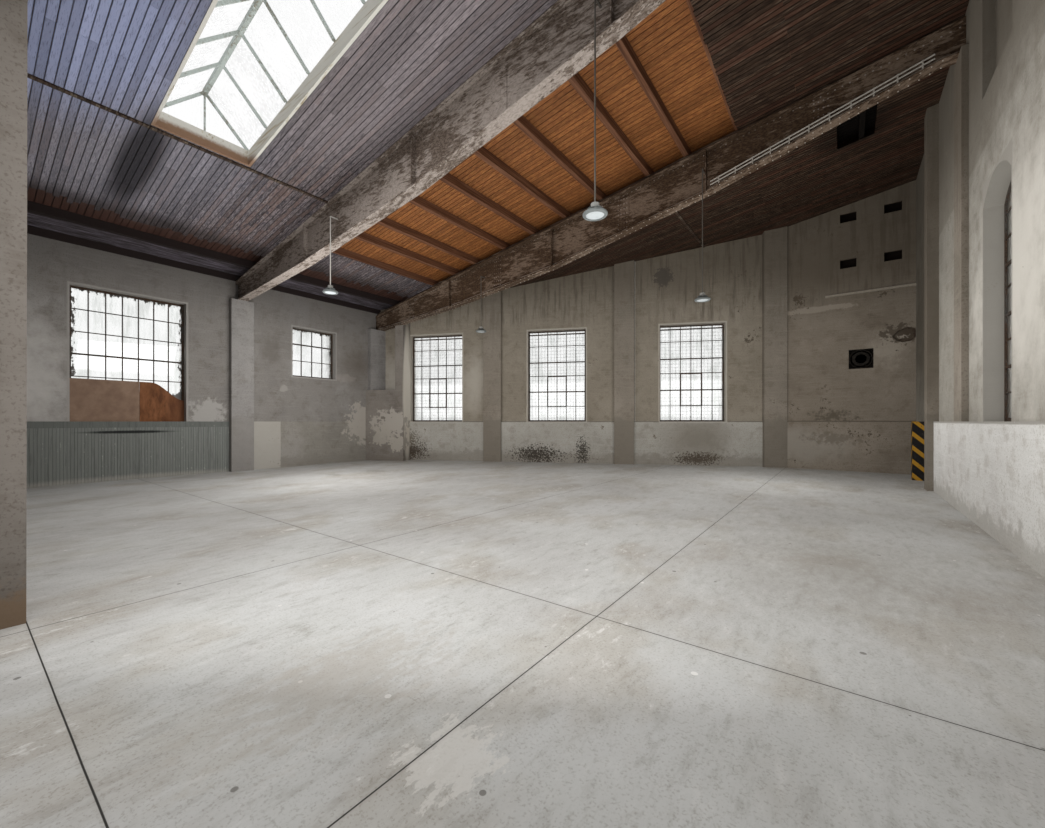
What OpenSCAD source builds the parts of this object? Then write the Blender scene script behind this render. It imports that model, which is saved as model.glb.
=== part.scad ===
// Single-storey factory hall with a lean roof, steel girders and a ridge skylight.
// The hall's own corner, where the front wall meets the low left wall inside, is the point
// that plan sizes are measured from. Heights are measured from the finished floor.

/* [Hall plan] */
// Clear width between the low left wall and the tall right wall
hall_w = 15700; // [15200:50:17000]
// Clear length from the front wall to the square part of the back wall
hall_l = 15750; // [15200:50:17000]
// Length of the left wall inside, up to the slanting back wall
corner_y = 9850; // [9800:10:10000]
// Length of the square stretch of the back wall, from its bend to the right wall
end_l = 3350; // [3200:10:3500]
// Thickness of the outer walls
wall_t = 450; // [350:10:600]
// Thickness of the floor slab
slab_t = 150; // [100:10:250]

/* [Roof] */
// Height of the ceiling line at the left wall
eaves_h = 5560; // [5300:20:6200]
// Roof pitch in degrees
pitch = 9; // [7:0.5:12]
// Depth of the purlins
purlin_d = 180; // [140:10:200]
// Width of the purlins
purlin_w = 100; // [80:5:140]
// Distance between purlins
purlin_step = 1032; // [1000:2:1050]
// Distance from the left wall to the first purlin
purlin_first = 1040; // [1000:10:1150]
// Depth of each pocket that holds the end of a purlin
pocket_d = 120; // [80:10:180]
// Thickness of the roof boards
deck_t = 25; // [20:1:40]
// Thickness of the roofing felt
felt_t = 12; // [6:1:20]
// Thickness of the old ceiling boards
lining_t = 20; // [15:1:30]
// Overhang of the roof past the walls
overhang = 150; // [80:10:300]
// Width of the plate on top of the left wall
plate_w = 150; // [100:10:200]

/* [Girders] */
// Distance from the front wall to the middle of the first girder
girder_1_y = 4950; // [4800:10:5100]
// Distance from the front wall to the middle of the second girder
girder_2_y = 9750; // [9650:10:9760]
// Width of the girder flanges
flange_w = 260; // [200:10:300]
// Thickness of the girder flanges
flange_t = 24; // [16:1:32]
// Thickness of the girder web
web_t = 14; // [10:1:20]
// Depth of a girder at its two ends
girder_end_d = 560; // [450:10:650]
// Depth of a girder at its quarter points
girder_quarter_d = 930; // [800:10:1000]
// Depth of a girder at midspan
girder_mid_d = 1080; // [1010:10:1250]
// Length of each level seat at a girder's end
seat_l = 260; // [220:10:340]
// Depth of the wall pocket that a girder's end lies in
girder_bearing = 150; // [100:10:200]
// Width of the stiffener plates
stiffener_w = 100; // [80:5:115]
// Thickness of the stiffener plates
stiffener_t = 16; // [10:1:24]
// Height of the timber packing on the second girder
packing_h = 90; // [50:5:120]

/* [Pilasters] */
// Width of the pilasters under the girders
pilaster_w = 600; // [500:10:700]
// How far the left pilasters stand out from the wall
left_pilaster_p = 180; // [120:10:240]
// Distance from the middle of the second girder to the near face of the pilaster under it
pilaster_lead = 475; // [400:5:490]
// How far the return pier stands out from the right wall
return_p = 180; // [120:10:240]
// Width of the pilasters on the back wall
back_pilaster_w = 650; // [500:10:750]
// How far the back pilasters stand out from the wall
back_pilaster_p = 120; // [90:5:160]
// Distance along the back wall to the first pilaster
back_pilaster_first = 4450; // [4300:10:4550]
// Distance between the first two back pilasters
back_pilaster_step = 4620; // [4500:10:4700]
// How far the pilaster at the bend stands out
bend_pilaster_p = 220; // [180:10:280]
// Distance from the front wall to the return pier on the right wall
return_y = 12150; // [11900:10:12400]
// Width of the return pier
return_w = 380; // [300:10:500]

/* [Corner block] */
// Height of the lower corner block
block_h = 2620; // [2400:10:2800]
// How far the corner block stands out from the back wall
block_p = 600; // [520:10:620]
// Length of the corner block along the back wall
block_l = 1220; // [1150:10:1230]
// Width of the upright part at the end of the corner block
block_pier_w = 316; // [250:2:330]

/* [Dado] */
// Height of the dado and of the window sills
sill_h = 1450; // [1300:10:1600]
// How far the dado stands out on the back wall
back_dado_p = 50; // [30:5:80]
// How far the dado stands out on the right wall
right_dado_p = 80; // [50:5:120]
// Thickness of the boards that cover the left dado
wainscot_t = 28; // [20:1:40]

/* [Windows] */
// Height of the large left window's head
head_h = 4640; // [4560:10:4800]
// Height of the heads of the back windows
back_head_h = 4690; // [4560:10:4800]
// Distance from the front wall to the large left window
left_window_y = 1380; // [1200:10:1500]
// Width of the large left window
left_window_w = 2240; // [2000:10:2500]
// Distance from the front wall to the small left window
small_window_y = 6480; // [6300:10:6700]
// Width of the small left window
small_window_w = 1500; // [1300:10:1600]
// Sill height of the small left window
small_window_sill = 2920; // [2800:10:3100]
// Height of the small left window's head
small_window_head = 4530; // [4450:10:4560]
// Distance along the back wall to the middle of the first window
back_window_first = 2260; // [2260:10:2320]
// Distance between the windows of the back wall
back_window_step = 4500; // [4450:10:4530]
// Width of the back windows
back_window_w = 2050; // [1800:10:2060]
// Width of the right windows
right_window_w = 1300; // [1100:10:1600]
// Distance from a girder back to the middle of the right window before it
right_window_gap = 1850; // [1600:10:2400]
// Spring height of the arched heads on the right wall
arch_spring = 4440; // [4300:10:4520]
// Rise of the arched heads on the right wall
arch_rise = 280; // [160:10:320]
// Distance from the wall's inner face to a window frame
reveal = 200; // [150:10:260]
// Width of a window frame's outer bars
frame_w = 50; // [40:5:60]
// Depth of a window frame
frame_d = 40; // [30:2:60]
// Thickness of the glass
glass_t = 6; // [4:1:10]
// Thickness of the wire mesh panels
mesh_t = 6; // [4:1:12]
// Distance from the wall's inner face to the mesh panels
mesh_reveal = 400; // [300:10:420]
// Height of the brown board in the large left window
brown_board_h = 1020; // [900:10:1100]
// Thickness of the boards in the large left window
board_t = 18; // [12:1:25]

/* [Blind recesses] */
// Height of the underside of the blind recesses on the right wall
recess_h = 6000; // [5800:10:6100]
// Width of the blind recesses
recess_w = 1390; // [1200:10:1800]
// Depth of the blind recesses
recess_d = 130; // [80:5:160]
// Height of the blind recesses
recess_tall = 1500; // [1200:10:1600]

/* [Gateway] */
// Width of the wall between the gateway and the right wall
gate_side = 810; // [700:10:1200]
// Width of the gateway
gate_w = 5400; // [5000:10:5800]
// Height of the gateway
gate_h = 4410; // [4200:10:4600]
// How far the gateway's left side leans in over its height
gate_lean = 80; // [10:10:150]

/* [Skylight] */
// Distance from the left wall to the lower end of the skylight opening
sky_x = 5130; // [5000:10:5200]
// Length of the skylight opening along the slope, in plan
sky_l = 5270; // [5000:10:5400]
// Distance from the front wall to the skylight opening
sky_y = 1750; // [1500:10:1850]
// Width of the skylight opening
sky_w = 1420; // [1300:10:1600]
// Thickness of the skylight curb
curb_t = 45; // [30:1:60]
// Height of the glass line above the ceiling line
curb_h = 250; // [240:10:400]
// Rise of the skylight ridge above the glass line
sky_rise = 740; // [600:10:850]
// Number of bays between the rafters of the skylight
sky_bays = 7; // [5:1:9]
// Width of the skylight bars
sky_bar_w = 26; // [20:1:50]
// Depth of the skylight bars
sky_bar_d = 45; // [30:1:60]

/* [Lamps] */
// Diameter of the lamp discs
lamp_d = 320; // [260:10:400]
// Height of the underside of the lamps on the high side
lamp_h = 4110; // [3900:10:4300]
// How much higher the lamps of the low side hang
lamp_lift = 150; // [0:10:200]
// Diameter of the lamp stems
stem_d = 22; // [16:1:30]

/* [Fittings] */
// Diameter of the conduits
conduit_d = 28; // [20:1:40]
// Distance along the back wall to the vertical pipe
pipe_t = 9430; // [9420:5:9500]
// Length of the cable trunking
trunk_l = 2000; // [1800:10:2200]
// Height of the cable trunking's section
trunk_s = 60; // [40:5:140]
// Depth of the cable trunking's section
trunk_d = 60; // [40:5:80]
// Height at which the cable trunking runs
trunk_h = 5150; // [5000:10:5300]
// Side of the square fan opening
fan_s = 560; // [450:10:650]
// Height of the fan opening's lower edge
fan_h = 2980; // [2800:10:3100]
// Distance from the bend to the fan opening
fan_x = 1900; // [1700:10:2000]
// Height of the striped corner guard
guard_h = 1450; // [1200:10:1600]
// Side of the striped corner guard
guard_s = 220; // [150:10:300]
// Distance from the square part of the back wall to the striped corner guard
guard_gap = 1350; // [900:10:1500]

/* [Hidden] */
$fn = 48;

// Far enough past the building for a cut to go right through
big = 2 * (hall_w + hall_l);
// Small distance that a cut runs past a face
past = 5;
// Places of the bend and of the gateway, from the left wall
bend_x = hall_w - end_l;
gate_x = hall_w - gate_side - gate_w;
slope = tan(pitch);
skew = atan((hall_l - corner_y) / bend_x);
// Vertical thickness of a layer that lies on the slope
function upright(t) = t / cos(pitch);
// Height of the ceiling line over the left wall, from the underside of the slab
ceiling_z = slab_t + eaves_h;
function ceiling_at(x) = ceiling_z + x * slope;
// Layers of the roof, measured upright from the ceiling line
deck_z = upright(purlin_d);
felt_z = deck_z + upright(deck_t);
roof_z = felt_z + upright(felt_t);
// Joint between neighbouring boards that meet end to end
board_gap = 5;

// Plan outline of the hall, moved outwards by d
function outline(d) = [
    [-d, -d],
    [hall_w + d, -d],
    [hall_w + d, hall_l + d],
    [bend_x - d * tan(skew / 2), hall_l + d],
    [-d, corner_y - d * tan(skew) + d / cos(skew)]];
// Inner face of the back wall at a distance x from the left wall
function back_y(x) = x < bend_x ? corner_y + x * tan(skew) : hall_l;

// The middle of the roof's outline is the model's origin in plan
centre_x = hall_w / 2;
centre_y = hall_l / 2;
module place() translate([-centre_x, -centre_y, 0]) children();

// Local axes of the back wall: x runs along it, y points out of the hall
module on_back_wall() translate([0, corner_y, 0]) rotate([0, 0, skew]) children();

// Everything under a plane parallel to the roof, dz above the ceiling line
module under(dz) {
    translate([0, big / 2, 0]) rotate([90, 0, 0]) linear_extrude(big)
        polygon([[-big, -big], [big, -big], [big, ceiling_at(big) + dz], [-big, ceiling_at(-big) + dz]]);
}
// A layer of the roof between two planes, cut to a plan shape
module layer(z0, z1) {
    difference() {
        intersection() {
            linear_extrude(big) children();
            under(z1);
        }
        under(z0);
    }
}
module plan_box(x0, y0, x1, y1) translate([x0, y0]) square([x1 - x0, y1 - y0]);

// Plan of the wall ring and of each wall's share of it
module ring() {
    difference() {
        polygon(outline(wall_t));
        polygon(outline(0));
    }
}
module left_share() plan_box(-big, -big, 0, big);
module right_share() plan_box(hall_w, -big, big, big);
module front_share() plan_box(0, -big, hall_w, 0);
module back_share() plan_box(0, corner_y - wall_t, bend_x, big);
module end_share() plan_box(bend_x, corner_y, hall_w, big);
module band(z0, z1) translate([0, 0, z0]) linear_extrude(z1 - z0) children();

// Heights from the underside of the slab
sill_z = slab_t + sill_h;
head_z = slab_t + head_h;
back_head_z = slab_t + back_head_h;

function back_window_t(i) = back_window_first + i * back_window_step;
back_windows = [0, 1, 2];
// Middles of the right windows, one to each bay between the front wall and the girders
right_windows = [girder_1_y - right_window_gap, girder_2_y - right_window_gap];

module floor_slab() {
    color("#b9b7b0") place() {
        linear_extrude(slab_t) polygon(outline(0));
        linear_extrude(slab_t) plan_box(gate_x, -wall_t, gate_x + gate_w, past);
    }
}

module left_window_holes() {
    translate([-wall_t - past, left_window_y, sill_z - past])
        cube([wall_t + 2 * past, left_window_w, head_z - sill_z + 2 * past]);
    translate([-wall_t - past, small_window_y, slab_t + small_window_sill])
        cube([wall_t + 2 * past, small_window_w, small_window_head - small_window_sill]);
}
module left_wall_base() {
    color("#a9a79e") place() band(0, sill_z) intersection() { ring(); left_share(); }
}
module left_wall_piers() {
    color("#b4b2aa") place() difference() {
        band(sill_z, head_z) intersection() { ring(); left_share(); }
        left_window_holes();
    }
}
module left_wall_head() {
    color("#aaa89f") place() difference() {
        intersection() {
            band(head_z, big) intersection() { ring(); left_share(); }
            under(deck_z);
        }
        wall_plate();
        girder_pockets();
    }
}

module back_window_holes() {
    for (i = back_windows) on_back_wall()
        translate([back_window_t(i) - back_window_w / 2, -past, sill_z - past])
            cube([back_window_w, wall_t + 2 * past, back_head_z - sill_z + 2 * past]);
}
module back_wall_base() {
    color("#a5a49d") place() {
        band(0, sill_z) intersection() { ring(); back_share(); }
        difference() {
            band(slab_t, sill_z) intersection() {
                polygon(outline(0));
                back_share();
                translate([0, corner_y]) rotate(skew) plan_box(block_l, -back_dado_p, big, past);
            }
            back_pilaster_solids();
        }
    }
}
module back_wall_piers() {
    color("#b4b3ab") place() difference() {
        band(sill_z, back_head_z) intersection() { ring(); back_share(); }
        back_window_holes();
    }
}
module back_wall_head() {
    color("#a8a79f") place() difference() {
        intersection() {
            band(back_head_z, big) intersection() { ring(); back_share(); }
            under(deck_z);
        }
        purlin_rows();
        girder_pockets();
    }
}

// Four blind slots high on the square part of the back wall
slot_w = 380;
slot_h = 260;
slot_d = 220;
slot_z = [5950, 7300];
slot_edge = 660;
slot_step = 990;
module wall_slots() {
    for (i = [0, 1], z = slot_z)
        translate([hall_w - slot_edge - i * slot_step, hall_l - past, slab_t + z])
            cube([slot_w, slot_d + past, slot_h]);
}
module fan_hole() {
    translate([bend_x + fan_x, hall_l - past, slab_t + fan_h])
        cube([fan_s, wall_t + 2 * past, fan_s]);
}
// Patch where the plaster has broken away, drawn as shares of its width and height
patch_w = 500;
patch_h = 410;
patch_z = 3640;
patch_d = 60;
patch_shape = [[0, 0.44], [0.24, 0.8], [0.66, 1], [0.96, 0.88],
    [1, 0.34], [0.76, 0.05], [0.42, 0], [0.18, 0.15]];
module plaster_hole() {
    translate([hall_w + 2 * board_gap - patch_w, hall_l - past, slab_t + patch_z]) rotate([90, 0, 0])
        translate([0, 0, -patch_d - past]) linear_extrude(patch_d + 2 * past)
            polygon([for (p = patch_shape) [p[0] * patch_w, p[1] * patch_h]]);
}
module end_wall() {
    color("#9d9c93") place() difference() {
        union() {
            intersection() {
                band(0, big) intersection() { ring(); end_share(); }
                under(deck_z);
            }
            difference() {
                band(slab_t, sill_z) plan_box(bend_x, hall_l - back_dado_p, hall_w, hall_l);
                back_pilaster_solids();
            }
        }
        wall_slots();
        fan_hole();
        plaster_hole();
        purlin_rows();
    }
}

module right_wall_base() {
    color("#bdbbb4") place() band(0, sill_z) intersection() { ring(); right_share(); }
}
// Outline of a window with an arched head, standing on the sill
arch_r = (right_window_w * right_window_w / 4 + arch_rise * arch_rise) / (2 * arch_rise);
module arched(inset) {
    w = right_window_w - 2 * inset;
    crown = arch_spring + arch_rise - sill_h;
    intersection() {
        translate([-w / 2, inset]) square([w, crown - inset]);
        union() {
            translate([0, crown - arch_r]) circle(arch_r - inset, $fn = 180);
            translate([-w / 2, inset]) square([w, crown - arch_r - inset]);
        }
    }
}
// Puts an outline drawn in width and height onto the right wall, x from its inner face outwards
module on_right_wall(y, x, t) {
    translate([hall_w + x, y, sill_z]) rotate([90, 0, 90]) linear_extrude(t) children();
}
module right_window_holes() {
    for (y = right_windows) on_right_wall(y, -past, wall_t + 2 * past) arched(0);
}
module right_wall_piers() {
    color("#c4c2bc") place() difference() {
        band(sill_z, slab_t + arch_spring) intersection() { ring(); right_share(); }
        right_window_holes();
    }
}
module right_wall_head() {
    color("#bfbdb7") place() difference() {
        intersection() {
            band(slab_t + arch_spring, big) intersection() { ring(); right_share(); }
            under(deck_z);
        }
        right_window_holes();
        for (y = right_windows)
            translate([hall_w - past, y - recess_w / 2, slab_t + recess_h])
                cube([recess_d + past, recess_w, recess_tall]);
        girder_pockets();
    }
}
module right_dado() {
    color("#c9c8c3") place() translate([hall_w - right_dado_p, 0, slab_t])
        cube([right_dado_p, return_y, sill_h]);
}

// Everything to the left of the gateway's leaning side
module left_of_gateway() {
    translate([0, big / 2, 0]) rotate([90, 0, 0]) linear_extrude(big)
        polygon([[-big, -past], [gate_x, -past], [gate_x, slab_t], [gate_x + gate_lean, slab_t + gate_h],
            [gate_x + gate_lean, big], [-big, big]]);
}
module front_wall_left() {
    color("#a9a79e") place() difference() {
        intersection() {
            band(0, big) intersection() { ring(); front_share(); }
            left_of_gateway();
            under(deck_z);
        }
        purlin_rows();
    }
}
module front_wall_right() {
    color("#a9a79e") place() difference() {
        intersection() {
            band(0, big) intersection() { ring(); front_share(); plan_box(gate_x + gate_w, -big, big, big); }
            under(deck_z);
        }
        purlin_rows();
    }
}
module front_lintel() {
    color("#b0aea5") place() difference() {
        intersection() {
            band(slab_t + gate_h, big) intersection() {
                ring();
                front_share();
                plan_box(gate_x + gate_lean, -big, gate_x + gate_w, big);
            }
            under(deck_z);
        }
        purlin_rows();
    }
}

// Heights of the girders' seats on the left and right walls, where drop is how far
// the girder's top lies below the ceiling line
girders = [[girder_1_y, 0], [girder_2_y, packing_h]];
function left_seat(drop) = ceiling_at(0) - drop - girder_end_d;
function right_seat(drop) = ceiling_at(hall_w) - drop - girder_end_d;
// Underside of a girder from end to end, deepest in the middle
function belly(drop) = [
    [-girder_bearing, left_seat(drop)],
    [seat_l, left_seat(drop)],
    [hall_w / 4, ceiling_at(hall_w / 4) - drop - girder_quarter_d],
    [hall_w / 2, ceiling_at(hall_w / 2) - drop - girder_mid_d],
    [hall_w * 3 / 4, ceiling_at(hall_w * 3 / 4) - drop - girder_quarter_d],
    [hall_w - seat_l, right_seat(drop)],
    [hall_w + girder_bearing, right_seat(drop)]];
function raised(points, h) = [for (p = points) [p[0], p[1] + h]];
function reversed(points) = [for (i = [len(points) - 1:-1:0]) points[i]];
function top_line(drop) = [
    [-girder_bearing, ceiling_at(-girder_bearing) - drop],
    [hall_w + girder_bearing, ceiling_at(hall_w + girder_bearing) - drop]];
// A plate that stands upright along the girder, w wide
module along_girder(y, w, points) {
    translate([0, y + w / 2, 0]) rotate([90, 0, 0]) linear_extrude(w) polygon(points);
}
module girder(y, drop) {
    low = belly(drop);
    high = top_line(drop);
    along_girder(y, flange_w, concat(low, reversed(raised(low, flange_t))));
    along_girder(y, flange_w, concat(raised(high, -flange_t), reversed(high)));
    along_girder(y, web_t, concat(low, reversed(high)));
    for (i = [2, 3, 4])
        translate([low[i][0] - stiffener_t / 2, y - web_t / 2 - stiffener_w, low[i][1] + flange_t / 2])
            cube([stiffener_t, web_t + 2 * stiffener_w,
                ceiling_at(low[i][0]) - drop - flange_t - low[i][1]]);
}
module girder_pockets() {
    for (g = girders) along_girder(g[0], flange_w, concat(belly(g[1]), reversed(top_line(g[1]))));
}
module girder_1() {
    color("#8f8a80") place() girder(girder_1_y, 0);
}
module girder_2() {
    color("#8f8a80") place() girder(girder_2_y, packing_h);
}
packing_w = 120;
module girder_packing() {
    color("#3a332d") place()
        layer(-packing_h, 0) plan_box(0, girder_2_y - packing_w / 2, hall_w, girder_2_y + packing_w / 2);
}

module left_pilasters() {
    color("#b3b1a9") place() {
        translate([0, girder_1_y - pilaster_w / 2, slab_t])
            cube([left_pilaster_p, pilaster_w, left_seat(0) - slab_t]);
        // The second pilaster stands on the corner block and meets the back wall
        band(slab_t + block_h, left_seat(packing_h)) intersection() {
            polygon(outline(0));
            plan_box(0, girder_2_y - pilaster_lead, left_pilaster_p, big);
        }
    }
}
module back_pilaster_solids() {
    for (t = [back_pilaster_first, back_pilaster_first + back_pilaster_step]) on_back_wall()
        translate([t - back_pilaster_w / 2, -back_pilaster_p, slab_t])
            cube([back_pilaster_w, back_pilaster_p, big]);
    // The pilaster at the bend meets both stretches of the wall
    band(slab_t, big) intersection() {
        polygon(outline(0));
        translate([bend_x, hall_l]) rotate(skew)
            plan_box(-back_pilaster_w / 2, -bend_pilaster_p, back_pilaster_w / 2, big);
    }
}
module back_pilasters() {
    color("#b9b8b1") place() intersection() {
        back_pilaster_solids();
        under(-upright(lining_t));
    }
}
module right_pilaster_solids() {
    // Under the girders they stand on the dado, flush with its face
    for (g = girders)
        translate([hall_w - right_dado_p, g[0] - pilaster_w / 2, sill_z])
            cube([right_dado_p, pilaster_w, right_seat(g[1]) - sill_z]);
    translate([hall_w - return_p, return_y, slab_t])
        cube([return_p, return_w, big]);
}
module right_pilasters() {
    color("#c0bfb9") place() intersection() {
        right_pilaster_solids();
        under(-upright(lining_t));
    }
}
// Masonry that fills the corner between the left and the back wall. The pier on it is cut
// back where the second girder passes
module corner_block() {
    color("#b2b0a7") place() difference() {
        intersection() {
            union() {
                band(slab_t, slab_t + block_h)
                    translate([0, corner_y]) rotate(skew) plan_box(-wall_t, -block_p, block_l, past);
                band(slab_t, big)
                    translate([0, corner_y]) rotate(skew)
                        plan_box(block_l - block_pier_w, -block_p, block_l, past);
            }
            band(slab_t, big) polygon(outline(0));
            under(-upright(lining_t));
        }
        along_girder(girder_2_y, flange_w, concat(belly(packing_h), reversed(top_line(0))));
    }
}
module left_wainscot() {
    color("#7d857f") place()
        translate([0, 0, slab_t]) cube([wainscot_t, girder_1_y - pilaster_w / 2, sill_h]);
}

purlin_n = floor((hall_w - purlin_first - purlin_w / 2) / purlin_step) + 1;
// The purlins at the two ends of the skylight are set close against its curb
sky_from = 4;
sky_to = 9;
function purlin_x(i) =
    i == sky_from ? sky_x - curb_t - purlin_w / 2 :
    i == sky_to ? sky_x + sky_l + curb_t + purlin_w / 2 :
    purlin_first + i * purlin_step;
module sky_plan(d) plan_box(sky_x - d, sky_y - d, sky_x + sky_l + d, sky_y + sky_w + d);
module purlin_rows() {
    for (i = [0:purlin_n - 1])
        layer(0, deck_z) difference() {
            plan_box(purlin_x(i) - purlin_w / 2, -pocket_d,
                purlin_x(i) + purlin_w / 2, back_y(purlin_x(i)) + pocket_d);
            sky_plan(curb_t);
        }
}
module wall_plate() {
    layer(0, deck_z) plan_box(-plate_w, 0, 0, corner_y);
}
module purlins() {
    color("#5a4636") place() {
        purlin_rows();
        wall_plate();
    }
}

roof_edge = wall_t + overhang;
module roof_boards() {
    color("#b0703c") place() {
        layer(deck_z, felt_z) intersection() {
            polygon(outline(roof_edge));
            plan_box(purlin_x(0), -big, purlin_x(sky_from) - board_gap / 2, big);
        }
        layer(deck_z, felt_z) intersection() {
            polygon(outline(roof_edge));
            plan_box(purlin_x(sky_to) + board_gap / 2, -big, big, big);
        }
        layer(deck_z, felt_z) difference() {
            intersection() {
                polygon(outline(roof_edge));
                plan_box(purlin_x(sky_from) + board_gap / 2, -big, purlin_x(sky_to) - board_gap / 2, big);
            }
            plan_box(-big, sky_y - curb_t, big, sky_y + sky_w + curb_t);
        }
    }
}
// Planks along the eaves, side by side from the roof's edge to the first purlin
eaves_n = 8;
eaves_pitch = (purlin_x(0) + roof_edge) / eaves_n;
module eaves_planks() {
    color("#3b3029") place()
        for (i = [0:eaves_n - 1]) layer(deck_z, felt_z) intersection() {
            polygon(outline(roof_edge));
            translate([-roof_edge + i * eaves_pitch, 0]) plan_box(0, -big, eaves_pitch - board_gap, big);
        }
}
module roof_felt() {
    color("#4c4e50") place() layer(felt_z, roof_z) difference() {
        polygon(outline(roof_edge));
        sky_plan(curb_t);
    }
}

// The old ceiling boards start where the broken edge lies, and stop at the girders
lining_x = purlin_x(1) - purlin_w / 2;
bay_1_end = girder_1_y - flange_w / 2;
bay_2_start = girder_1_y + flange_w / 2;
bay_2_end = girder_2_y - packing_w / 2;
bay_3_start = girder_2_y + packing_w / 2;
// Purlins between which the ceiling boards of the middle bay are gone
open_from = 2;
open_to = 11;
// Hole in the ceiling boards of the back bay
fallen = [14020, 10450, 14680, 12250];
module lining_piece(x0, y0, x1, y1) layer(-upright(lining_t), 0) plan_box(x0, y0, x1, y1);
module ceiling_lining() {
    color("#4a443f") place() {
        lining_piece(lining_x, 0, purlin_x(sky_from) - board_gap / 2, bay_1_end);
        lining_piece(purlin_x(sky_from) + board_gap / 2, 0,
            purlin_x(sky_to) - board_gap / 2, sky_y - curb_t);
        lining_piece(purlin_x(sky_from) + board_gap / 2, sky_y + sky_w + curb_t,
            purlin_x(sky_to) - board_gap / 2, bay_1_end);
        lining_piece(purlin_x(sky_to) + board_gap / 2, 0, hall_w, bay_1_end);
        lining_piece(lining_x, bay_2_start, purlin_x(open_from), bay_2_end);
        lining_piece(purlin_x(open_to), bay_2_start, hall_w, bay_2_end);
        // The back bay, in four parts around the hole where boards have fallen
        for (b = [[lining_x, bay_3_start, fallen[0], big], [fallen[2], bay_3_start, hall_w, big],
                [fallen[0], bay_3_start, fallen[2], fallen[1]], [fallen[0], fallen[3], fallen[2], big]])
            layer(-upright(lining_t), 0) intersection() {
                polygon(outline(0));
                plan_box(b[0] + board_gap / 2, b[1], b[2] - board_gap / 2, b[3]);
            }
    }
}
batten_w = 60;
batten_t = 25;
module batten(i, y0, y1) {
    layer(-upright(lining_t + batten_t), -upright(lining_t))
        plan_box(purlin_x(i) - batten_w / 2, y0, purlin_x(i) + batten_w / 2, y1);
}
module lining_battens() {
    color("#3d3833") place() {
        batten(sky_from, 0, bay_1_end);
        batten(sky_to, bay_3_start, back_y(purlin_x(sky_to) - batten_w / 2));
    }
}

module skylight_curb() {
    color("#c9b48c") place() layer(-upright(lining_t), curb_h) difference() {
        sky_plan(curb_t);
        sky_plan(0);
    }
}
// Half the span of the skylight's rafters, out to the curb's outer face
sky_half = sky_w / 2 + curb_t;
sky_mid = sky_y + sky_w / 2;
ridge_w = 60;
ridge_d = 90;
module skylight_ridge() {
    color("#6f7a72") place() layer(curb_h + sky_rise - ridge_d, curb_h + sky_rise)
        plan_box(sky_x - curb_t, sky_mid - ridge_w / 2, sky_x + sky_l + curb_t, sky_mid + ridge_w / 2);
}
// Outline across the skylight, from the glass line at the curb to the ridge
sky_lean = atan(sky_rise / sky_half);
module rafter_pair(x) {
    translate([x, sky_mid, ceiling_at(x) + curb_h]) rotate([90, 0, 90]) linear_extrude(sky_bar_w)
        difference() {
            polygon([[-sky_half, -past], [-sky_half, 0], [0, sky_rise], [sky_half, 0], [sky_half, -past]]);
            polygon([[-sky_half + sky_bar_d / sin(sky_lean), -2 * past],
                [0, sky_rise - sky_bar_d / cos(sky_lean)],
                [sky_half - sky_bar_d / sin(sky_lean), -2 * past]]);
            translate([-ridge_w / 2, 0]) square([ridge_w, big]);
        }
}
gable_low = sky_x - curb_t + glass_t;
gable_high = sky_x + sky_l + curb_t - glass_t - sky_bar_w;
module gable_post(x) {
    translate([x, sky_mid - sky_bar_w / 2, ceiling_at(x)])
        cube([sky_bar_w, sky_bar_w, curb_h + sky_rise - ridge_d]);
}
module skylight_rafters() {
    color("#6f7a72") place() difference() {
        union() {
            for (i = [1:sky_bays - 1]) rafter_pair(sky_x + i * sky_l / sky_bays - sky_bar_w / 2);
            for (x = [gable_low, gable_high]) {
                rafter_pair(x);
                gable_post(x);
            }
        }
        under(curb_h);
        layer(curb_h + sky_rise - ridge_d, big)
            plan_box(-big, sky_mid - ridge_w / 2, big, sky_mid + ridge_w / 2);
    }
}
// A sheet on one slope of the skylight, side -1 towards the front wall
module slope_sheet(side) {
    rise = sky_rise / sky_half;
    tilt = asin(rise / sqrt(1 + slope * slope + rise * rise));
    intersection() {
        translate([sky_x, sky_mid, ceiling_at(sky_x) + curb_h + sky_rise])
            rotate([-side * tilt, -atan(slope), 0])
                translate([-big, -big, 0]) cube([2 * big, 2 * big, glass_t]);
        band(0, big) plan_box(sky_x - curb_t, sky_mid + (side < 0 ? -sky_half : ridge_w / 2),
            sky_x + sky_l + curb_t, sky_mid + (side < 0 ? -ridge_w / 2 : sky_half));
    }
}
// A pane in one half of a gable, just clear of the ridge and of the slope above it
module gable_pane(x, side) {
    clear = 4;
    near = ridge_w / 2;
    far = sky_half - clear;
    translate([x, sky_mid, ceiling_at(x) + curb_h]) rotate([90, 0, 90]) linear_extrude(glass_t)
        polygon([[side * near, -past], [side * far, -past],
            [side * far, 0], [side * near, sky_rise * (1 - near / sky_half) - clear]]);
}
module skylight_glass() {
    color("#dfe8ea") place() {
        for (side = [-1, 1]) slope_sheet(side);
        difference() {
            for (side = [-1, 1], x = [sky_x - curb_t, sky_x + sky_l + curb_t - glass_t])
                gable_pane(x, side);
            under(curb_h);
        }
    }
}

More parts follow.
